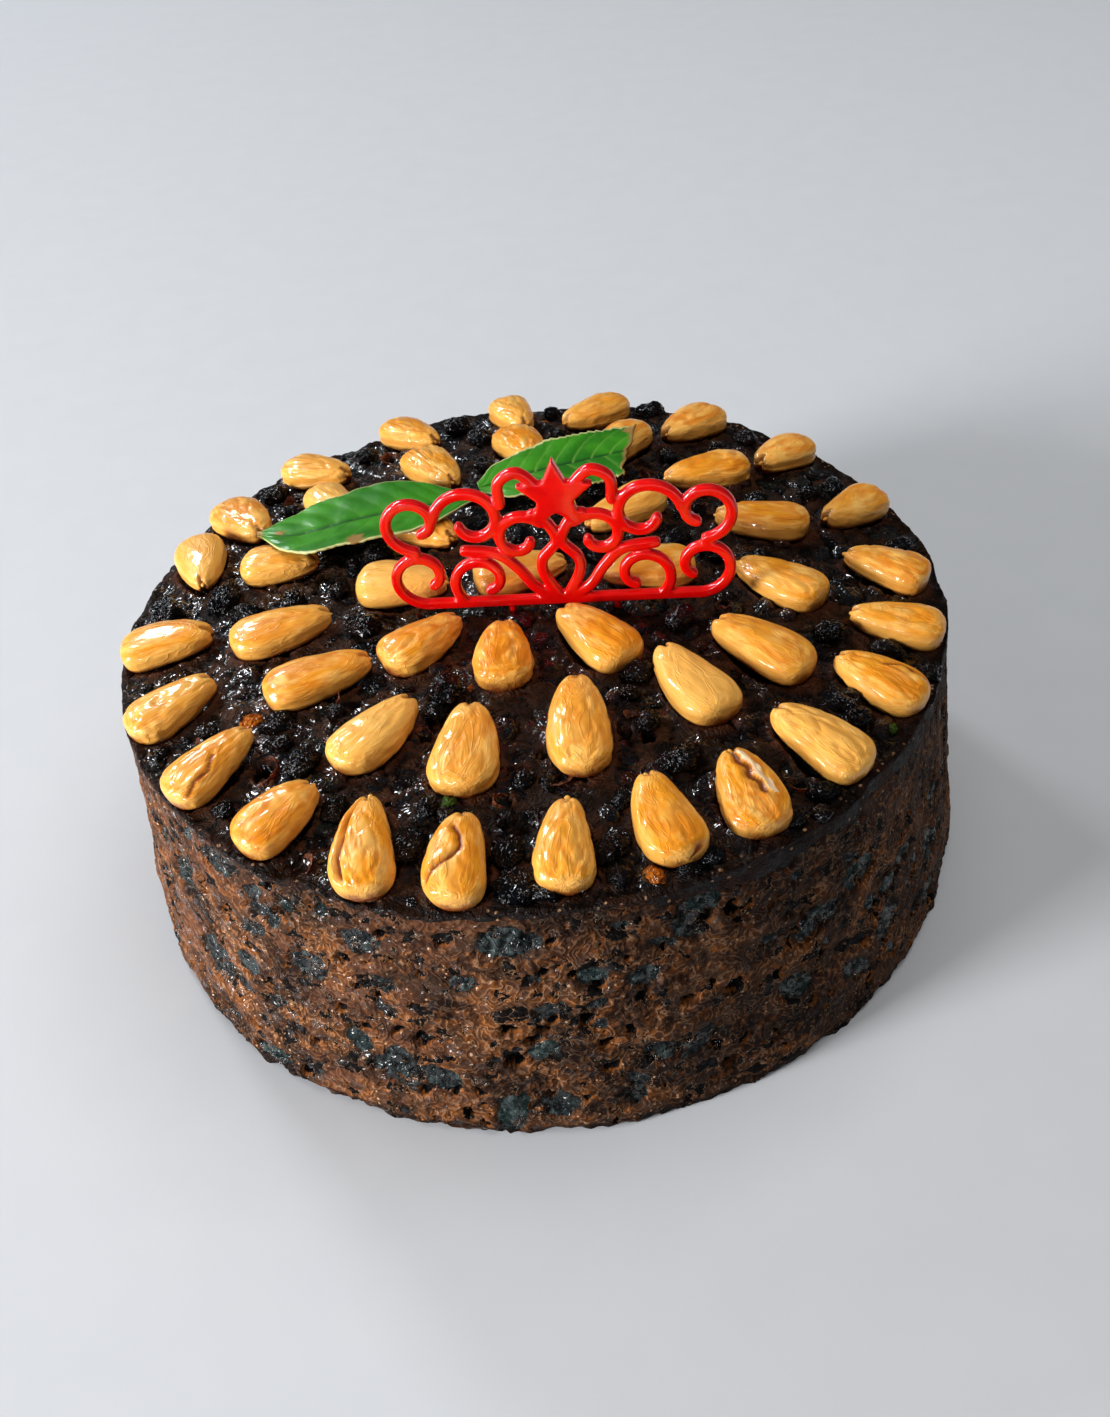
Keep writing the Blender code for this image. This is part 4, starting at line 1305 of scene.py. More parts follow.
    def bed_almonds(self, spots: Array, height: Array, lip: Array) -> None:
        """Sinks a bed under each almond, with a soft collar of glaze, and raises the crust round raisins.

        Args:
            spots: plan places measured from the top's middle.
            height: the crust's heights there, which it changes.
            lip: the mark of thin brown rims there, which it changes.
        """
        plan = spots + np.array(self.form.middle)[:2]
        for nut in self.form.nuts.values():
            near = np.flatnonzero(np.hypot(*(plan - nut.middle[:2]).T) < 18 * MM)
            away = nut.metric(plan[near])
            height[near] -= 2.0 * MM * smooth(-away / (2.5 * MM))
            collar = bell(away, 0.9 * MM)
            height[near] += 0.50 * MM * collar
            lip[near] = np.maximum(lip[near], 0.35 * collar)
        for lump in self.form.lumps:
            near = np.flatnonzero(np.hypot(plan[:, 0] - lump.x, plan[:, 1] - lump.y) < lump.long)
            away = np.hypot(plan[near, 0] - lump.x, plan[near, 1] - lump.y) - lump.long * 0.42
            height[near] += 0.35 * MM * bell(away, 1.0 * MM)


@dataclass
class DriedFruits:
    """Wrinkled dried fruit that stands out of the crust, all of one kind in one piece."""

    name: str
    lumps: list[Lump]
    finish: DriedFruitFinish
    columns: int = 44
    slim: float = 0.68
    tall: float = 0.50
    seed: int = 3

    def unit_form(self) -> Pair:
        """A ball of radius 1, fine above and plain below in the crust: its points and triangles."""
        slopes = np.radians([*np.linspace(0, 112, self.columns // 2 - 2)[1:], 145])
        turns = np.linspace(0, math.tau, self.columns, endpoint=False)
        slope, turn = (a.ravel() for a in np.meshgrid(slopes, turns, indexing="ij"))
        unit = np.column_stack([np.sin(slope) * np.cos(turn), np.sin(slope) * np.sin(turn), np.cos(slope)])
        unit = np.concatenate([unit, [[0, 0, 1], [0, 0, -1]]])
        faces = turned_over(tube_faces(len(slopes), self.columns, len(unit) - 2, len(unit) - 1))
        return unit, np.array([(f[0], f[k], f[k + 1]) for f in faces for k in range(1, len(f) - 1)])

    def build(self) -> Object:
        """Makes the piece."""
        unit, triangles = self.unit_form()
        rng = random.Random(self.seed)
        points, faces = [], []
        for k, lump in enumerate(self.lumps):
            shape = self.wrinkled(unit, rng.uniform(0, 900))
            half = lump.long / 2
            local = shape * np.array([half, half * self.slim, half * self.tall])
            tilt = Matrix.Rotation(rng.uniform(-0.25, 0.25), 3, "X")
            tilt @= Matrix.Rotation(rng.uniform(-0.2, 0.2), 3, "Y")
            turned = np.array(Matrix.Rotation(lump.turn, 3, "Z") @ tilt)
            local = local @ turned.T
            local[:, 2] += lump.top - local[:, 2].max()
            local[:, :2] += (lump.x, lump.y)
            faces.append(triangles + len(unit) * k)
            points.append(local)
        points, faces = np.concatenate(points), np.concatenate(faces).tolist()
        return hand_over(mesh_object(self.name, points, faces, self.finish.material(), {}), "crust")

    @staticmethod
    def wrinkled(unit: Array, seed: float) -> Array:
        """A unit ball shrunk into lengthwise ridges and furrows."""
        shape = unit * (1 + 0.32 * sampled(unit, 0.8, seed=seed))[:, None]
        bend = 1.5 * sampled(unit, 0.75, seed=seed + 3) + 0.6 * sampled(unit, 0.35, seed=seed + 6)
        turn = np.arctan2(unit[:, 2], unit[:, 1])
        away = np.hypot(unit[:, 2], unit[:, 1])
        fold = np.abs(np.sin(turn * 4.5 + 2.0 * bend)) ** 0.6
        stretched = shape * np.array([0.45, 1.0, 1.0])
        minor = creases(stretched, 0.30, 2.2, seed=seed + 9, warp=0.6)
        return shape * (0.86 + 0.22 * fold * away - 0.17 * minor)[:, None]


@dataclass(frozen=True)
class Ground:
    """The finished crust, on which more things are set down."""

    surface: BVHTree
    usual: float
    above: float = 90 * MM

    def height(self, x: float, y: float) -> float:
        """Height of the crust at a plan place."""
        hit = self.surface.ray_cast(Vector((x, y, self.above)), Vector((0, 0, -1)))[0]
        return hit.z if hit is not None else self.usual


@dataclass
class Scatter:
    """Chooses places on the crust for more dried fruit, clear of the almonds and mostly of each other."""

    form: CakeForm
    ground: Ground
    margin: float = 2.6 * MM
    seed: int = 21
    taken: list[Lump] = field(default_factory=list)

    def __post_init__(self) -> None:
        """Starts with the raisins that the frame's cake already has."""
        self.rng = random.Random(self.seed)
        self.taken = list(self.form.lumps)

    def lump(self, x: float, y: float, long: float, rise: float) -> Lump:
        """A fruit that stands out of the crust by a given rise."""
        return Lump(x, y, self.ground.height(x, y) + rise, self.rng.uniform(0, math.pi), long)

    def draw(self, count: int, sizes: tuple[float, float], rises: tuple[float, float]) -> list[Lump]:
        """Chooses fruit by chance.

        Args:
            count: how many.
            sizes: shortest and longest, in metres.
            rises: how far they stand out of the crust, in metres.
        Returns:
            The fruit.
        """
        found: list[Lump] = []
        for _ in range(count * 40):
            if len(found) == count:
                break
            x, y = chance_spot(self.rng, self.form.top_radius - self.margin)
            x, y = x + self.form.middle.x, y + self.form.middle.y
            long = self.rng.uniform(*sizes)
            clear = all(math.hypot(x - o.x, y - o.y) > (long + o.long) * 0.36 for o in self.taken)
            if clear and self.form.free_of_nuts(x, y, long * 0.22):
                found.append(self.lump(x, y, long, self.rng.uniform(*rises)))
                self.taken.append(found[-1])
        return found

    def set_down(self, places: tuple[tuple[float, ...], ...], rise: float) -> list[Lump]:
        """Fruit at known places.

        Args:
            places: each one's place from the top's middle and length, in mm, and its turn in degrees.
            rise: how far the shortest stand out of the crust, in metres.
        Returns:
            The fruit.
        """
        found = []
        for x, y, long, turn in places:
            x, y = x * MM + self.form.middle.x, y * MM + self.form.middle.y
            top = self.ground.height(x, y) + rise + 0.15 * long * MM
            found.append(Lump(x, y, top, math.radians(turn), long * MM))
        self.taken += found
        return found


@dataclass
class CrispRims:
    """Thin curled skins that stand round the holes of the crust, all in one piece."""

    form: CakeForm
    holes: list[Oval]
    ground: Ground
    steps: int = 22
    rows: int = 4
    thickness: float = 0.34 * MM
    seed: int = 12

    def build(self) -> Object:
        """Makes the piece."""
        rng = random.Random(self.seed)
        points, faces = [], []
        for hole in self.holes:
            self.add_rim(hole, rng, points, faces)
        skin = DriedFruitFinish("crisp_skin", (0.170, 0.048, 0.018), (0.040, 0.014, 0.008), (0.2, 0.45), 0.1)
        obj = mesh_object("crisp_rims", np.array(points), faces, skin.material(), {})
        return hand_over(obj, "crust")

    def add_rim(self, hole: Oval, rng: random.Random, points: list, faces: list) -> None:
        """Adds one curled strip along part of a hole's edge.

        Args:
            hole: the hole.
            rng: what its sizes are drawn from.
            points: the piece's points, to which it adds.
            faces: the piece's faces, to which it adds.
        """
        start, sweep = rng.uniform(0, math.tau), rng.uniform(1.4, 4.6)
        tall = rng.uniform(0.6, 1.2) * MM + 0.22 * hole.reach
        flare = rng.uniform(-0.2, 0.9)
        seed = rng.uniform(0, 500)
        faces += renumbered(sheet_faces(self.steps, self.rows), len(points))
        middle_x, middle_y = hole.x + self.form.middle.x, hole.y + self.form.middle.y
        for side in range(2):
            for i in range(self.steps + 1):
                part = i / self.steps
                angle = start + sweep * part
                edge = hole.reach * (1.10 + 0.10 * noise.noise((seed, part * 5, 0.0)))
                rise = tall * math.sin(math.pi * min(max(part, 0.02), 0.98)) ** 0.5
                rise *= 1 + 0.5 * noise.noise((seed, part * 9, 3.0))
                for j in range(self.rows + 1):
                    up = j / self.rows
                    reach = edge + flare * tall * up**1.6 + side * self.thickness * (1 - 0.6 * up)
                    along, across = reach * math.cos(angle), reach * hole.slim * math.sin(angle)
                    x = middle_x + along * math.cos(hole.turn) - across * math.sin(hole.turn)
                    y = middle_y + along * math.sin(hole.turn) + across * math.cos(hole.turn)
                    foot = self.ground.height(x, y) - 0.5 * MM
                    points.append((x, y, foot + (rise + 0.5 * MM) * up))


class Crease(Enum):
    """How an almond's skin has parted."""

    NONE = "none"
    SEAM = "seam"
    CLEFT = "cleft"
    FOLD = "fold"
    CRACK = "crack"
    CHIP = "chip"


@dataclass(frozen=True)
class Traits:
    """What sets one almond apart: its crease, its depths in mm, and how pale or amber it is."""

    crease: Crease = Crease.NONE
    wrinkle: float = 0.30
    seam: float = 0.15
    notch: float = 1.0
    pale: float = 0.0
    amber: float = 0.0
    bead: float = 0.0

    @classmethod
    def by_chance(cls, rng: random.Random) -> "Traits":
        """Draws an almond like the others."""
        return cls(
            wrinkle=rng.uniform(0.12, 0.45), seam=rng.choice((0.0, 0.15, 0.30, 0.45)),
            notch=rng.uniform(0.6, 1.6), pale=rng.choice((0.0, 0.0, 0.2, 0.45, 0.65)),
            amber=rng.choice((0.0, 0.2, 0.5, 0.8)),
        )


TRAITS = {
    "inner_01": Traits(wrinkle=0.20, pale=0.25),
    "inner_03": Traits(wrinkle=0.12, pale=0.70),
    "inner_04": Traits(wrinkle=0.40, amber=0.70),
    "inner_05": Traits(wrinkle=0.45, seam=0.30, amber=0.90),
    "inner_06": Traits(wrinkle=0.25, amber=0.50),
    "middle_08": Traits(wrinkle=0.15, pale=0.20, amber=0.60),
    "middle_09": Traits(wrinkle=0.20, amber=0.80),
    "middle_10": Traits(wrinkle=0.30, notch=1.6, pale=0.70),
    "middle_11": Traits(wrinkle=0.28, seam=0.45, pale=0.35, amber=0.40),
    "middle_12": Traits(wrinkle=0.45, notch=0.7, pale=0.20, amber=0.30),
    "middle_13": Traits(wrinkle=0.12, seam=0.30, notch=1.4, pale=0.75),
    "middle_14": Traits(wrinkle=0.18, notch=1.5, pale=0.15, amber=0.70),
    "outer_09": Traits(wrinkle=0.10, pale=0.55),
    "outer_10": Traits(wrinkle=0.12, notch=1.7, amber=0.30),
    "outer_11": Traits(wrinkle=0.50, notch=1.2, pale=0.30),
    "outer_12": Traits(Crease.CRACK, wrinkle=0.26, notch=0.8, amber=0.50),
    "outer_13": Traits(wrinkle=0.28, notch=0.6, amber=0.80),
    "outer_14": Traits(Crease.SEAM, wrinkle=0.30, notch=1.3, amber=0.25, bead=0.8),
    "outer_15": Traits(Crease.FOLD, wrinkle=0.15, notch=0.7, amber=0.55),
    "outer_16": Traits(wrinkle=0.36, seam=0.30, notch=1.3, pale=0.15, amber=0.15, bead=1.0),
    "outer_17": Traits(Crease.CHIP, wrinkle=0.25, seam=0.30, notch=1.3, amber=0.45, bead=0.5),
    "outer_18": Traits(Crease.CLEFT, wrinkle=0.40, seam=0.45, notch=1.2, amber=0.80, bead=0.7),
    "outer_19": Traits(wrinkle=0.50, seam=0.30, notch=0.8, pale=0.60),
    "outer_20": Traits(Crease.CRACK, wrinkle=0.30, seam=0.30, amber=0.60),
}


@dataclass
class AlmondPiece:
    """One whole almond: broad blunt end, narrow notched tip with its root bud, lengthwise ripples."""

    node: str
    nut: NutFrame
    finish: Material
    stations: int = 42
    around: int = 50

    def __post_init__(self) -> None:
        """Draws this almond's own proportions."""
        self.rng = random.Random(self.node)
        self.taper = self.rng.uniform(0.46, 0.70)
        self.blunt = self.rng.uniform(2.3, 2.9)
        self.point = self.rng.uniform(2.3, 3.0)
        self.boxy = self.rng.uniform(2.1, 2.5)
        self.flat = self.rng.uniform(2.7, 3.2)
        self.bend = self.rng.uniform(-0.06, 0.06)
        self.seed = self.rng.uniform(0, 900)
        self.traits = TRAITS.get(self.node.removeprefix("almond_")) or Traits.by_chance(self.rng)
        if self.traits.crease is not Crease.NONE:
            self.stations, self.around = 54, 60

    def profile(self, part: Array) -> Array:
        """Width from 0 to 1 along the almond, from its blunt end at 0 to its tip at 1."""
        power = self.blunt + (self.point - self.blunt) * smooth(part)
        curve = np.clip(1 - np.abs(2 * part - 1) ** power, 0, 1) ** (1 / power)
        wide = curve * (1 - self.taper * (part - 0.3))
        return wide / wide.max()

    def surface(self) -> tuple[Array, Marks]:
        """Ring points of the body from the blunt end to the tip, and their marks."""
        length, width, tall = self.nut.size
        part = (1 - np.cos(np.linspace(0.03, 0.985, self.stations) * math.pi)) / 2
        turn = np.linspace(0, math.tau, self.around, endpoint=False)
        turn += 0.4 * np.cos(turn)
        part, turn = (a.ravel() for a in np.meshgrid(part, turn, indexing="ij"))
        wide = self.profile(part)
        across = np.sign(np.cos(turn)) * np.abs(np.cos(turn)) ** (2 / self.boxy)
        power = np.where(np.sin(turn) > 0, self.flat, self.boxy)
        up = np.sign(np.sin(turn)) * np.abs(np.sin(turn)) ** (2 / power)
        around = np.column_stack([part * 2.2, np.cos(turn) * wide, np.sin(turn) * wide])
        ripple = sampled(around * np.array([1.0, 1.5, 1.5]), 0.55, 2, seed=self.seed)
        ridge = creases(around * np.array([0.55, 1.0, 1.0]), 0.36, 3.0, seed=self.seed + 3, warp=0.5)
        away = 0.26 * MM * sampled(around, 1.1, seed=self.seed + 7) + 0.15 * MM * ripple
        away -= 1.1 * self.traits.wrinkle * MM * ridge * wide**0.5
        mark = 0.60 * ridge * min(1, 2 * self.traits.wrinkle + 0.2) * smooth((np.sin(turn) + 0.2) / 0.4)
        rim = bell(up - 0.04, 0.10) * smooth((part - 0.02) / 0.06)
        away -= 1.3 * self.traits.seam * MM * rim
        mark = np.maximum(mark, rim * 2 * self.traits.seam)
        pale, dark_brown = self.traits.pale * smooth((up + 0.1) / 0.6), 0.0
        if self.traits.crease is not Crease.NONE:
            depth, parted = self.parting(part, turn)
            away -= depth
            mark = np.maximum(mark, parted)
            # The parting's groove is painted dark brown as shade.
            dark_brown = smooth((parted - 0.40) / 0.4)
            if self.traits.crease is Crease.CLEFT:
                pale = np.maximum(pale, smooth((self.parting(part, turn - 0.27)[1] - 0.02) / 0.3))
        x = length * (part - 0.5)
        y = width / 2 * wide * across + np.cos(turn) * away + self.bend * width * np.sin(math.pi * part)
        z = tall / 2 * wide**0.64 * up + np.sin(turn) * away
        notch = bell(y, 0.75 * MM) * smooth((part - 0.88) / 0.08)
        x = x - self.traits.notch * MM * notch
        # low: darker brown towards the underside and in the notch of the tip.
        low = np.maximum(smooth((-up - 0.12) / 0.5), 0.75 * notch)
        face = smooth((up - 0.30) / 0.5) * smooth((wide - 0.35) / 0.45)
        # Darker at the lower part of the blunt end.
        blunt_end_dark = smooth((0.10 - part) / 0.10) * smooth((0.6 - up) / 0.8)
        grain = around * np.array([0.91, 1.0, 1.0]) + self.seed
        marks = {
            "grain": grain, "crease": mark, "low": np.maximum(np.maximum(low, 0.8 * blunt_end_dark), dark_brown),
            "pale": pale, "amber": np.full(len(part), self.traits.amber), "face": face,
        }
        return np.column_stack([x, y, z]), marks

    def parting(self, part: Array, turn: Array) -> Pair:
        """Parts the almond's skin.

        Args:
            part: places along the almond, from its blunt end at 0 to its tip at 1.
            turn: places round it, as angles.
        Returns:
            The depth and the mark at each place.
        """
        turn, lip, sway = np.degrees(turn), 0.0, 0.0
        if self.traits.crease is Crease.SEAM:
            path = (0.0, 0.5, 1.0), (50, 57, 50)
            reach, width, depth, lip = smooth((part - 0.04) / 0.08), 7.5, 1.2 * MM, 0.30 * MM
        elif self.traits.crease is Crease.CLEFT:
            path, sway = ((0.2, 0.5, 0.7, 0.95), (112, 96, 92, 80)), 3 * np.sin(part * 31)
            reach, width, depth = smooth((part - 0.24) / 0.12), 6.5, 1.1 * MM
        elif self.traits.crease is Crease.FOLD:
            path = (0.15, 0.27, 0.40, 0.52, 0.66, 0.82), (24, 50, 84, 104, 98, 74)
            reach = smooth((part - 0.13) / 0.05) * smooth((0.84 - part) / 0.10)
            width, depth, lip = 5.5, 0.60 * MM, 0.25 * MM
        elif self.traits.crease is Crease.CRACK:
            path = (0.06, 0.22, 0.38, 0.56), (152, 126, 130, 100)
            reach = smooth((part - 0.04) / 0.05) * smooth((0.60 - part) / 0.10)
            width, depth, lip = 5.0, 0.36 * MM, 0.08 * MM
        else:
            path = (0.0, 1.0), (138, 138)
            reach, width, depth = smooth((0.10 - part) / 0.05), 26.0, 1.6 * MM
        line = np.interp(part, *path) + sway
        width = width * np.hypot(1, (np.interp(part + 0.03, *path) - np.interp(part - 0.03, *path)) * 0.07)
        near = bell(turn - line, width) * reach
        beside = bell(turn - line + 2.4 * width, 1.4 * width) * reach
        return depth * near - lip * beside, near

    def bud(self, tip: Array) -> tuple[Array, Faces]:
        """A small root bud in the notch of the tip.

        Args:
            tip: its middle.
        Returns:
            Its points and its faces.
        """
        rings, sides = 7, 12
        long = self.rng.uniform(0.9, 1.3) * MM
        wide = (self.rng.uniform(0.45, 0.65) + 0.25 * self.traits.bead) * MM
        points = []
        for i in range(1, rings):
            a = math.pi * i / rings
            side = wide * math.sin(a)
            for k in range(sides):
                b = math.tau * k / sides
                points.append((-long * math.cos(a), side * math.cos(b), side * math.sin(b)))
        faces = turned_over(tube_faces(rings - 1, sides, len(points), len(points) + 1))
        return np.array(points + [(-long, 0, 0), (long, 0, 0)]) + tip, faces

    def build(self) -> Object:
        """Makes the piece."""
        points, marks = self.surface()
        first, final = points[: self.around].mean(axis=0), points[-self.around:].mean(axis=0)
        body = len(points)
        ends = [first - np.array([0.25 * MM, 0, 0]), final + np.array([0.05 * MM, 0, 0])]
        points = np.concatenate([points, ends])
        faces = turned_over(tube_faces(self.stations, self.around, body, body + 1))
        forward = (0.3 + self.traits.bead - self.traits.notch * 0.35) * MM
        bud, bud_faces = self.bud(final + np.array([forward, 0, 0]))
        faces += renumbered(bud_faces, len(points))
        points = np.concatenate([points, bud])
        extra = len(points) - body
        full = {}
        for name, values in marks.items():
            full[name] = np.concatenate([values, np.repeat(values[-1:], extra, axis=0)])
        full["low"][-extra:] = 0
        obj = mesh_object(self.node + "_dressed", self.nut.place(points), faces, self.finish, full)
        return hand_over(obj, "almond", self.node)


@dataclass
class LeafPiece:
    """A thin leaf with a sunken midrib, curving side veins and a finely waved edge."""

    node: str
    form: CakeForm
    base: Colour
    tip: Colour
    widths: tuple[float, ...]
    bow: float
    slant: float
    fold: float
    tilt: float
    ripple: float
    arch: float
    teeth: float
    veins: int
    veined: float
    blemishes: tuple[tuple[float, float, float], ...]
    thickness: float = 0.5 * MM
    stations: int = 116
    ribs: int = 19

    def width_at(self, part: float) -> float:
        """Half width at a part of the length, in metres, on a smooth curve through the given widths."""
        place = part * (len(self.widths) - 1)
        k = min(int(place), len(self.widths) - 2)
        before, after = self.widths[max(k - 1, 0)], self.widths[min(k + 2, len(self.widths) - 1)]
        return max(eased(before, self.widths[k], self.widths[k + 1], after, place - k), 0.25) * MM

    def point(self, part: float, side: float) -> Vector:
        """A place on the upper face.

        Args:
            part: how far along the leaf, from 0 to 1.
            side: how far across it, from -1 to 1.
        Returns:
            The place.
        """
        base, tip = Vector(self.base) * MM, Vector(self.tip) * MM
        along = tip - base
        across = Vector((-along.y, along.x, 0)).normalized()
        tooth = (part * 21 + 0.4 * math.sin(9 * part)) % 1.0
        width = self.width_at(part) * (1 + self.teeth * (0.5 - tooth) * (0.3 + part))
        waver = 0.5 * MM * noise.noise((part * 9, side * 0.3, 4.0)) * abs(side)
        offset = side * (width + waver)
        spot = base + along * part + across * (offset + self.bow * MM * math.sin(math.pi * part**3))
        torn = 1.1 * MM * noise.noise((side * 4.5, self.slant, 2.0)) * float(smooth((part - 0.88) / 0.12))
        spot += along.normalized() * (offset * self.slant * part**3 + torn)
        spot.z += self.arch * MM * math.sin(math.pi * part)
        spot.z += abs(offset) * self.fold + offset * self.tilt
        spot.z += self.ripple * MM * abs(side) ** 1.5 * math.sin(9 * part + 2.5 * side)
        vein, midrib = self.vein_marks(part, side)
        bulge = math.cos(math.tau * self.phase(part, side))
        spot.z -= 0.10 * MM * vein + 0.40 * MM * midrib + 0.05 * MM * bulge * min(1, abs(side) * 4)
        spot.z += 0.35 * MM * noise.noise(spot / (6 * MM))
        return spot + self.form.middle

    def phase(self, part: float, side: float) -> float:
        """Position between side veins: whole numbers lie on a vein."""
        return (part - 0.20 * abs(side) ** 1.25) * self.veins + (0.35 if side < 0 else 0)

    def vein_marks(self, part: float, side: float) -> tuple[float, float]:
        """How much a place lies on a side vein and on the midrib."""
        phase = self.phase(part, side)
        off = abs(phase - round(phase))
        vein = math.exp(-((off / 0.055) ** 2)) * (1 - 0.6 * abs(side))
        midrib = math.exp(-((side / (0.035 + 0.03 * (1 - part))) ** 2))
        return vein, midrib

    def blemish(self, part: float, side: float) -> float:
        """How much a place is bruised or dry."""
        most = float(smooth((part - 0.965) / 0.03))
        for at_part, at_side, reach in self.blemishes:
            away = math.hypot((part - at_part) * 4, side - at_side) / reach
            away += 0.4 * noise.noise((part * 60, side * 14, 0.0))
            most = max(most, float(smooth((1.1 - away) / 0.3)))
        return most

    def build(self, finish: Material) -> Object:
        """Makes the piece."""
        across = 2 * self.ribs
        upper, marks = [], {"vein": [], "midrib": [], "edge": [], "blemish": []}
        for i in range(self.stations + 1):
            for j in range(across + 1):
                part, side = i / self.stations, j / self.ribs - 1
                side = math.copysign(1 - (1 - abs(side)) ** 1.15, side)
                upper.append(self.point(part, side))
                vein, midrib = self.vein_marks(part, side)
                marks["vein"].append(vein * self.veined)
                marks["midrib"].append(midrib)
                marks["edge"].append(float(smooth((abs(side) - (0.93 if side > 0 else 0.965)) / 0.035)))
                marks["blemish"].append(self.blemish(part, side))
        upper = np.array(upper)
        lower = upper - np.array([0, 0, self.thickness])
        faces = turned_over(sheet_faces(self.stations, across))
        doubled = {name: np.array(values * 2) for name, values in marks.items()}
        obj = mesh_object(self.node + "_dressed", np.concatenate([upper, lower]), faces, finish, doubled)
        return hand_over(obj, "leaf", self.node)


@dataclass
class PlaquePiece:
    """The standing scrollwork plaque: strokes with soft edges, moulded in one with its pins."""

    turn: float = math.radians(-6.3)
    bar_half: float = 31.5
    stroke: float = 2.6
    thickness: float = 2.2
    pin_places: tuple[float, float] = (-12.5, 12.5)
    pin_length: float = 11.5
    star_middle: tuple[float, float] = (0.0, 28.6)
    star_radii: tuple[float, float] = (9.4, 4.4)
    voxel: float = 0.34

    @staticmethod
    def scroll(middle: tuple, radii: tuple, turn: tuple) -> list[tuple[float, float]]:
        """A spiral stroke: its middle, its first and last radius, and its first and last angle in degrees."""
        count = round(abs(turn[1] - turn[0]) / 8) + 1
        points = []
        for part in np.linspace(0, 1, count):
            a = math.radians(turn[0] + (turn[1] - turn[0]) * part)
            radius = radii[0] + (radii[1] - radii[0]) * part
            points.append((middle[0] + radius * math.cos(a), middle[1] + radius * math.sin(a)))
        return points

    @staticmethod
    def flowing(points: tuple, steps: int = 9) -> list[tuple[float, float]]:
        """A smooth stroke through a few points, with so many steps between two."""
        found = []
        for k in range(len(points) - 1):
            before, after = points[max(k - 1, 0)], points[min(k + 2, len(points) - 1)]
            for t in np.arange(steps) / steps:
                found.append(tuple(eased(*line, t) for line in zip(before, points[k], points[k + 1], after)))
        return found + [points[-1]]

    def half_strokes(self) -> list[list[tuple[float, float]]]:
        """Strokes of the left half, in mm from the middle of the bar."""
        return [
            self.scroll((-32.6, 7.8), (8.0, 3.2), (-80, -405)),
            self.scroll((-33.0, 22.6), (7.6, 3.2), (-95, -420)),
            self.scroll((-19.8, 22.6), (8.6, 3.2), (172, -150)),
            self.scroll((-18.6, 6.0), (7.4, 3.0), (226, -60)),
            self.scroll((-9.0, 17.4), (6.4, 2.6), (40, 330)),
            self.flowing(((-22.0, 14.6), (-14.6, 13.4), (-10.0, 9.0), (-6.4, 3.6), (-1.0, 0.4))),
            self.flowing(((-12.6, 27.0), (-12.4, 32.4), (-8.0, 34.6), (-3.6, 30.4))),
            self.flowing(((-0.6, 0.4), (-3.9, 6.6), (-4.2, 11.4), (-0.6, 16.4), (-2.6, 21.6), (-5.4, 23.6))),
        ]

    def ribbon(self, mesh: bmesh.types.BMesh, points: list, thickness: float, width: float) -> None:
        """Adds a bar along a stroke, with bevelled edges and round ends, in mm.

        Args:
            mesh: the mesh that it is added to.
            points: the stroke.
            thickness: its size from front to back.
            width: its size across the stroke.
        """
        half, deep = width / 2, thickness / 2
        cut = 0.45
        outline = [
            (half, -deep + cut), (half - cut, -deep), (-half + cut, -deep), (-half, -deep + cut),
            (-half, deep - cut), (-half + cut, deep), (half - cut, deep), (half, deep - cut),
        ]
        first, final = Vector(points[0]), Vector(points[-1])
        before = (first - Vector(points[1])).normalized()
        after = (final - Vector(points[-2])).normalized()
        stations = [(first + before * half * b, a) for b, a in ((0.95, 0.35), (0.6, 0.8))]
        stations += [(Vector(p), 1.0) for p in points]
        stations += [(final + after * half * b, a) for b, a in ((0.6, 0.8), (0.95, 0.35))]
        rings = []
        for k, (spot, scale) in enumerate(stations):
            ahead, behind = stations[min(k + 1, len(stations) - 1)][0], stations[max(k - 1, 0)][0]
            along = (ahead - behind).normalized()
            ring = [(spot.x - along.y * s * scale, d, spot.y + along.x * s * scale) for s, d in outline]
            rings.append([mesh.verts.new(place) for place in ring])
        made = [mesh.faces.new(rings[0]), mesh.faces.new(rings[-1])]
        for low, high in zip(rings, rings[1:]):
            for c in range(len(outline)):
                n = (c + 1) % len(outline)
                made.append(mesh.faces.new((low[c], low[n], high[n], high[c])))
        bmesh.ops.recalc_face_normals(mesh, faces=made)

    def star(self, mesh: bmesh.types.BMesh) -> None:
        """Adds the star at the middle, in mm."""
        rings = []
        for depth in (-0.5, 0.5):
            ring = []
            for k in range(10):
                a, radius = math.pi * k / 5, self.star_radii[k % 2]
                x, z = self.star_middle[0] + radius * math.sin(a), self.star_middle[1] + radius * math.cos(a)
                ring.append(mesh.verts.new((x, depth * self.thickness * 1.06, z)))
            rings.append(ring)
        made = [mesh.faces.new(ring) for ring in rings]
        for k in range(10):
            n = (k + 1) % 10
            made.append(mesh.faces.new((rings[0][k], rings[0][n], rings[1][n], rings[1][k])))
        bmesh.ops.recalc_face_normals(mesh, faces=made)

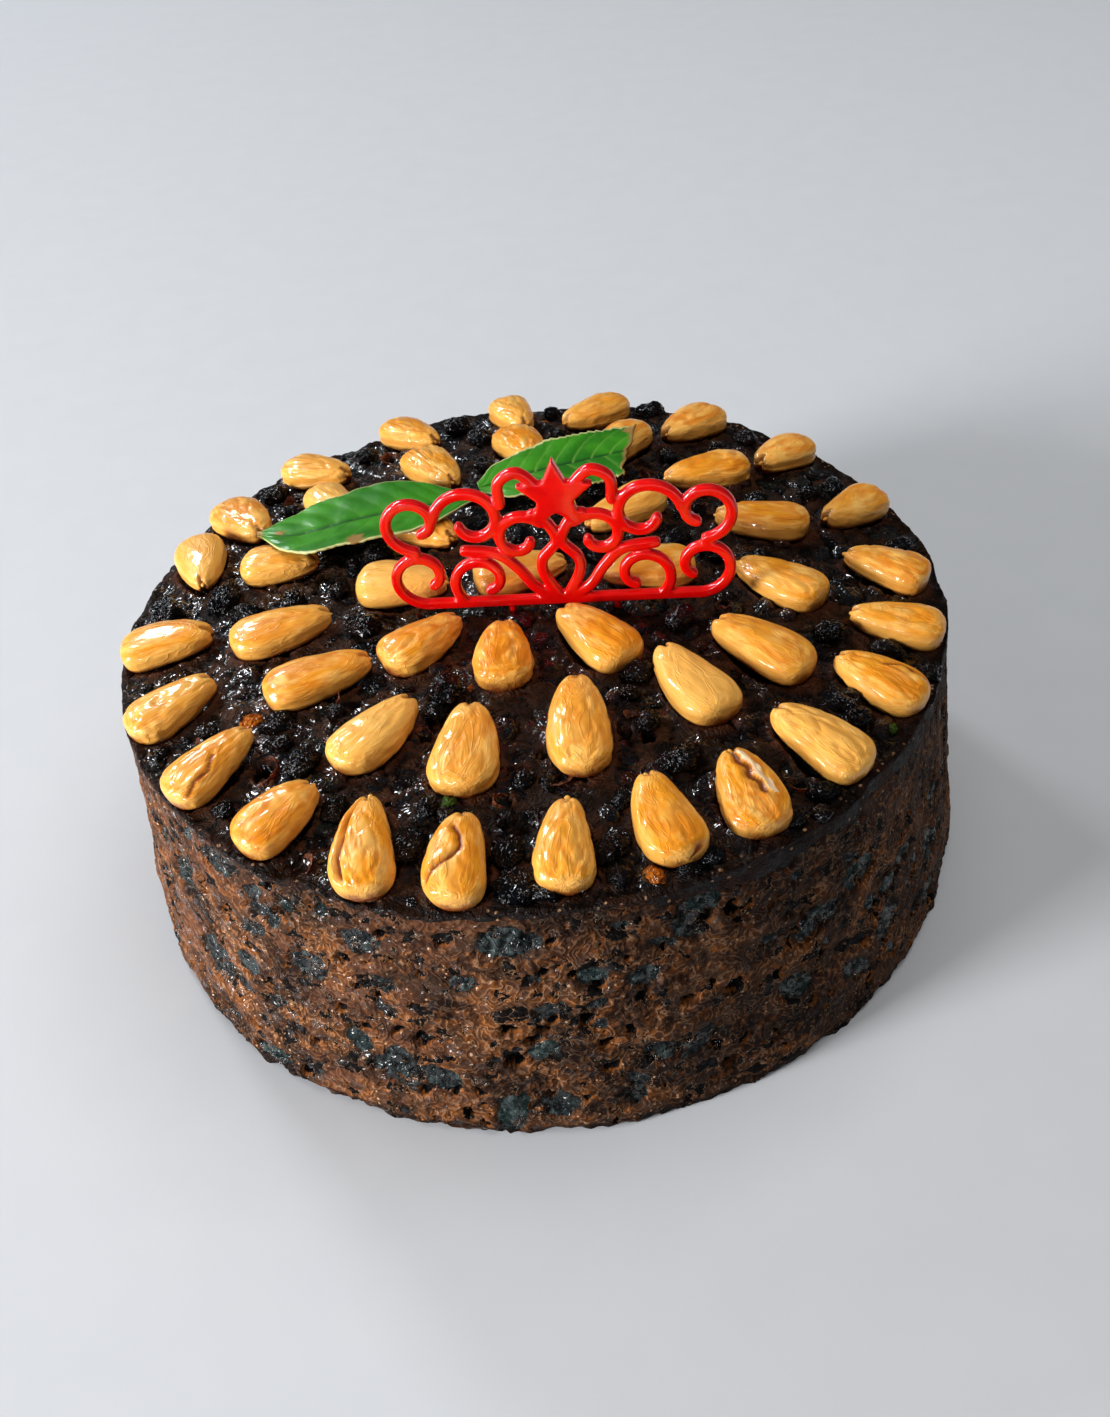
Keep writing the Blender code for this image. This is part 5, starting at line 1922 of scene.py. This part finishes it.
    def build(self) -> Object:
        """Makes the piece."""
        mesh = bmesh.new()
        self.ribbon(mesh, [(-self.bar_half, 0), (0, 0), (self.bar_half, 0)], self.thickness, self.stroke)
        for points in self.half_strokes():
            self.ribbon(mesh, points, self.thickness, self.stroke)
            self.ribbon(mesh, [(-x, z) for x, z in points], self.thickness, self.stroke)
        self.star(mesh)
        for along in self.pin_places:
            self.ribbon(mesh, [(along, 0.4), (along, -5), (along, -self.pin_length)], 1.5, 1.6)
        data = bpy.data.meshes.new("plaque_dressed")
        mesh.to_mesh(data)
        mesh.free()
        obj = linked("plaque_dressed", data)
        remesh = obj.modifiers.new("one moulding", "REMESH")
        remesh.mode = "VOXEL"
        remesh.voxel_size = self.voxel
        soften = obj.modifiers.new("soft edges", "SMOOTH")
        soften.factor = 0.5
        soften.iterations = 3
        bpy.context.view_layer.update()
        made = bpy.data.meshes.new_from_object(obj.evaluated_get(bpy.context.evaluated_depsgraph_get()))
        obj.modifiers.clear()
        obj.data = made
        made.name = "plaque_dressed"
        low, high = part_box("plaque")
        middle = (low + high) / 2
        made.transform(Matrix.Scale(MM, 4))
        made.transform(Matrix.Rotation(self.turn, 4, "Z"))
        tops = max(v.co.z for v in made.vertices)
        made.transform(Matrix.Translation((middle.x, middle.y, high.z - tops)))
        made.shade_smooth()
        made.materials.append(MouldedPlasticFinish().material())
        return hand_over(obj, "plaque", "plaque")


@dataclass
class Studio:
    """The pale floor, the soft lights and the camera."""

    focal: float = 1400 / 1417 * 36
    eye: Colour = (0.00340, -0.27758, 0.26890)
    pitch: float = math.radians(40.52)
    roll: float = math.radians(6.31)
    floor_half: float = 12.0

    def build(self) -> None:
        """Makes the floor, lights, world and camera."""
        self.floor()
        self.light("window", (-1.50, -0.66, 0.60), 0.46, 35.0, (0.98, 0.98, 1.0))
        self.light("low_window", (-1.20, -0.46, 0.11), 0.30, 11.0, (1.0, 0.97, 0.94))
        self.light("far_window", (-0.85, 1.50, 1.15), 0.30, 11.0, (0.88, 0.94, 1.0))
        self.light("ceiling", (0.50, 0.30, 2.2), 2.0, 29.0, (1.0, 0.98, 0.96)).visible_glossy = False
        self.light("glints", (-0.46, 0.30, 0.50), 0.08, 2.4, (0.90, 0.95, 1.0)).visible_diffuse = False
        self.light("low_glints", (-0.42, -0.80, 0.30), 0.09, 2.2, (0.94, 0.97, 1.0)).visible_diffuse = False
        world = bpy.data.worlds.new("studio")
        world.use_nodes = True
        sky = world.node_tree.nodes["Background"]
        sky.inputs["Color"].default_value = (0.88, 0.92, 1.0, 1)
        sky.inputs["Strength"].default_value = 0.08
        bpy.context.scene.world = world
        bpy.context.scene.view_settings.view_transform = "Standard"
        self.camera()

    def floor(self) -> None:
        """A large plain plane at z = 0."""
        corners = np.array([(-1, -1, 0), (1, -1, 0), (1, 1, 0), (-1, 1, 0)]) * self.floor_half
        mesh_object("floor", corners, [(0, 1, 2, 3)], FloorFinish().material(), {})

    @staticmethod
    def light(name: str, place: Colour, size: float, power: float, colour: Colour) -> Object:
        """A square soft light aimed at the cake.

        Args:
            name: its name.
            place: where it stands.
            size: the length of its sides.
            power: in watts.
            colour: its colour.
        Returns:
            The light.
        """
        data = bpy.data.lights.new(name, "AREA")
        data.size = size
        data.energy = power
        data.color = colour
        lamp = linked(name, data)
        lamp.location = place
        lamp.rotation_euler = (Vector((0, 0, 0.05)) - Vector(place)).to_track_quat("-Z", "Y").to_euler()
        return lamp

    def camera(self) -> None:
        """The camera: it looks down on the cake and is rolled a little clockwise."""
        forward = Vector((0, math.cos(self.pitch), -math.sin(self.pitch)))
        down = Vector((0, -math.sin(self.pitch), -math.cos(self.pitch)))
        right = Vector((math.cos(self.roll), 0, 0)) + down * math.sin(self.roll)
        lower = Vector((-math.sin(self.roll), 0, 0)) + down * math.cos(self.roll)
        data = bpy.data.cameras.new("camera")
        data.lens = self.focal
        data.sensor_width = 36
        eye = linked("camera", data)
        turned = Matrix((right, -lower, -forward)).transposed().to_4x4()
        eye.matrix_world = Matrix.Translation(self.eye) @ turned
        bpy.context.scene.camera = eye


def leaves(form: CakeForm) -> list[LeafPiece]:
    """The two leaves."""
    return [
        LeafPiece(
            "leaf_left", form, (-11, 31.5, 76.3), (-67.8, 29.7, 74.0),
            (1.2, 7, 11.5, 13.6, 13.8, 13.4, 12.4, 8.0, 0.6),
            bow=4.0, slant=0.0, fold=0.06, tilt=0.05, ripple=0.4, arch=0.9, teeth=0.025, veins=9, veined=0.35,
            blemishes=((0.545, 0.86, 0.17), (0.90, -0.15, 0.10), (0.0, 0.2, 0.22)),
        ),
        LeafPiece(
            "leaf_right", form, (-10, 41, 73.5), (31, 50.3, 74.4),
            (2.0, 8, 10.5, 12, 12.6, 12.8, 12.8, 12.6, 12.0),
            bow=0.0, slant=0.5, fold=0.05, tilt=-0.03, ripple=0.5, arch=0.8, teeth=0.06, veins=8, veined=1.0,
            blemishes=((0.97, 0.85, 0.12), (0.99, -0.6, 0.10)),
        ),
    ]


def main() -> None:
    """Builds the cake and its studio."""
    logging.basicConfig(level=logging.INFO, format="%(message)s")
    form = CakeForm()
    log.info("%d raisins and %d almonds in the frame", len(form.lumps), len(form.nuts))
    CrumbBody(form).build()
    crust = CrustTop(form)
    top = crust.build()
    ground = Ground(surface_of(top.data), form.side_height)
    scatter = Scatter(form, ground)
    black = scatter.set_down(LARGE_FRUIT, 1.2 * MM)
    amber = scatter.set_down(AMBER_BITS, 0.4 * MM)
    amber += scatter.draw(5, (2.2 * MM, 4.0 * MM), (0.2 * MM, 0.7 * MM))
    green = scatter.set_down(GREEN_BITS, 0.9 * MM)
    green += scatter.draw(3, (2.6 * MM, 4.0 * MM), (0.2 * MM, 0.6 * MM))
    black += scatter.draw(46, (7.0 * MM, 10.5 * MM), (0.3 * MM, 1.2 * MM))
    red = scatter.draw(30, (4.0 * MM, 7.5 * MM), (0.2 * MM, 1.0 * MM))
    black += scatter.draw(42, (3.5 * MM, 6.0 * MM), (0.2 * MM, 1.0 * MM))
    red_skin = DriedFruitFinish("red_raisin_skin", (0.030, 0.0085, 0.005), (0.009, 0.005, 0.005))
    amber_skin = DriedFruitFinish("amber_peel", (0.42, 0.115, 0.008), (0.24, 0.05, 0.006), glow=0.3)
    green_skin = DriedFruitFinish("green_peel", (0.045, 0.085, 0.010), (0.020, 0.045, 0.008))
    kinds = (
        ("raisins", form.lumps, DriedFruitFinish("raisin_skin"), 44),
        ("sunken_raisins", black, DriedFruitFinish("sunken_raisin_skin"), 34),
        ("red_raisins", red, red_skin, 36),
        ("amber_peel", amber, amber_skin, 36),
        ("green_peel", green, green_skin, 36),
    )
    for k, kind in enumerate(kinds):
        DriedFruits(*kind, seed=3 + 7 * k).build()
    CrispRims(form, crust.holes, ground).build()
    golden = AlmondFinish().material()
    for name, nut in form.nuts.items():
        AlmondPiece(name, nut, golden).build()
    green = LeafFinish().material()
    for leaf in leaves(form):
        leaf.build(green)
    PlaquePiece().build()
    Studio().build()


if __name__ == "__main__":
    main()
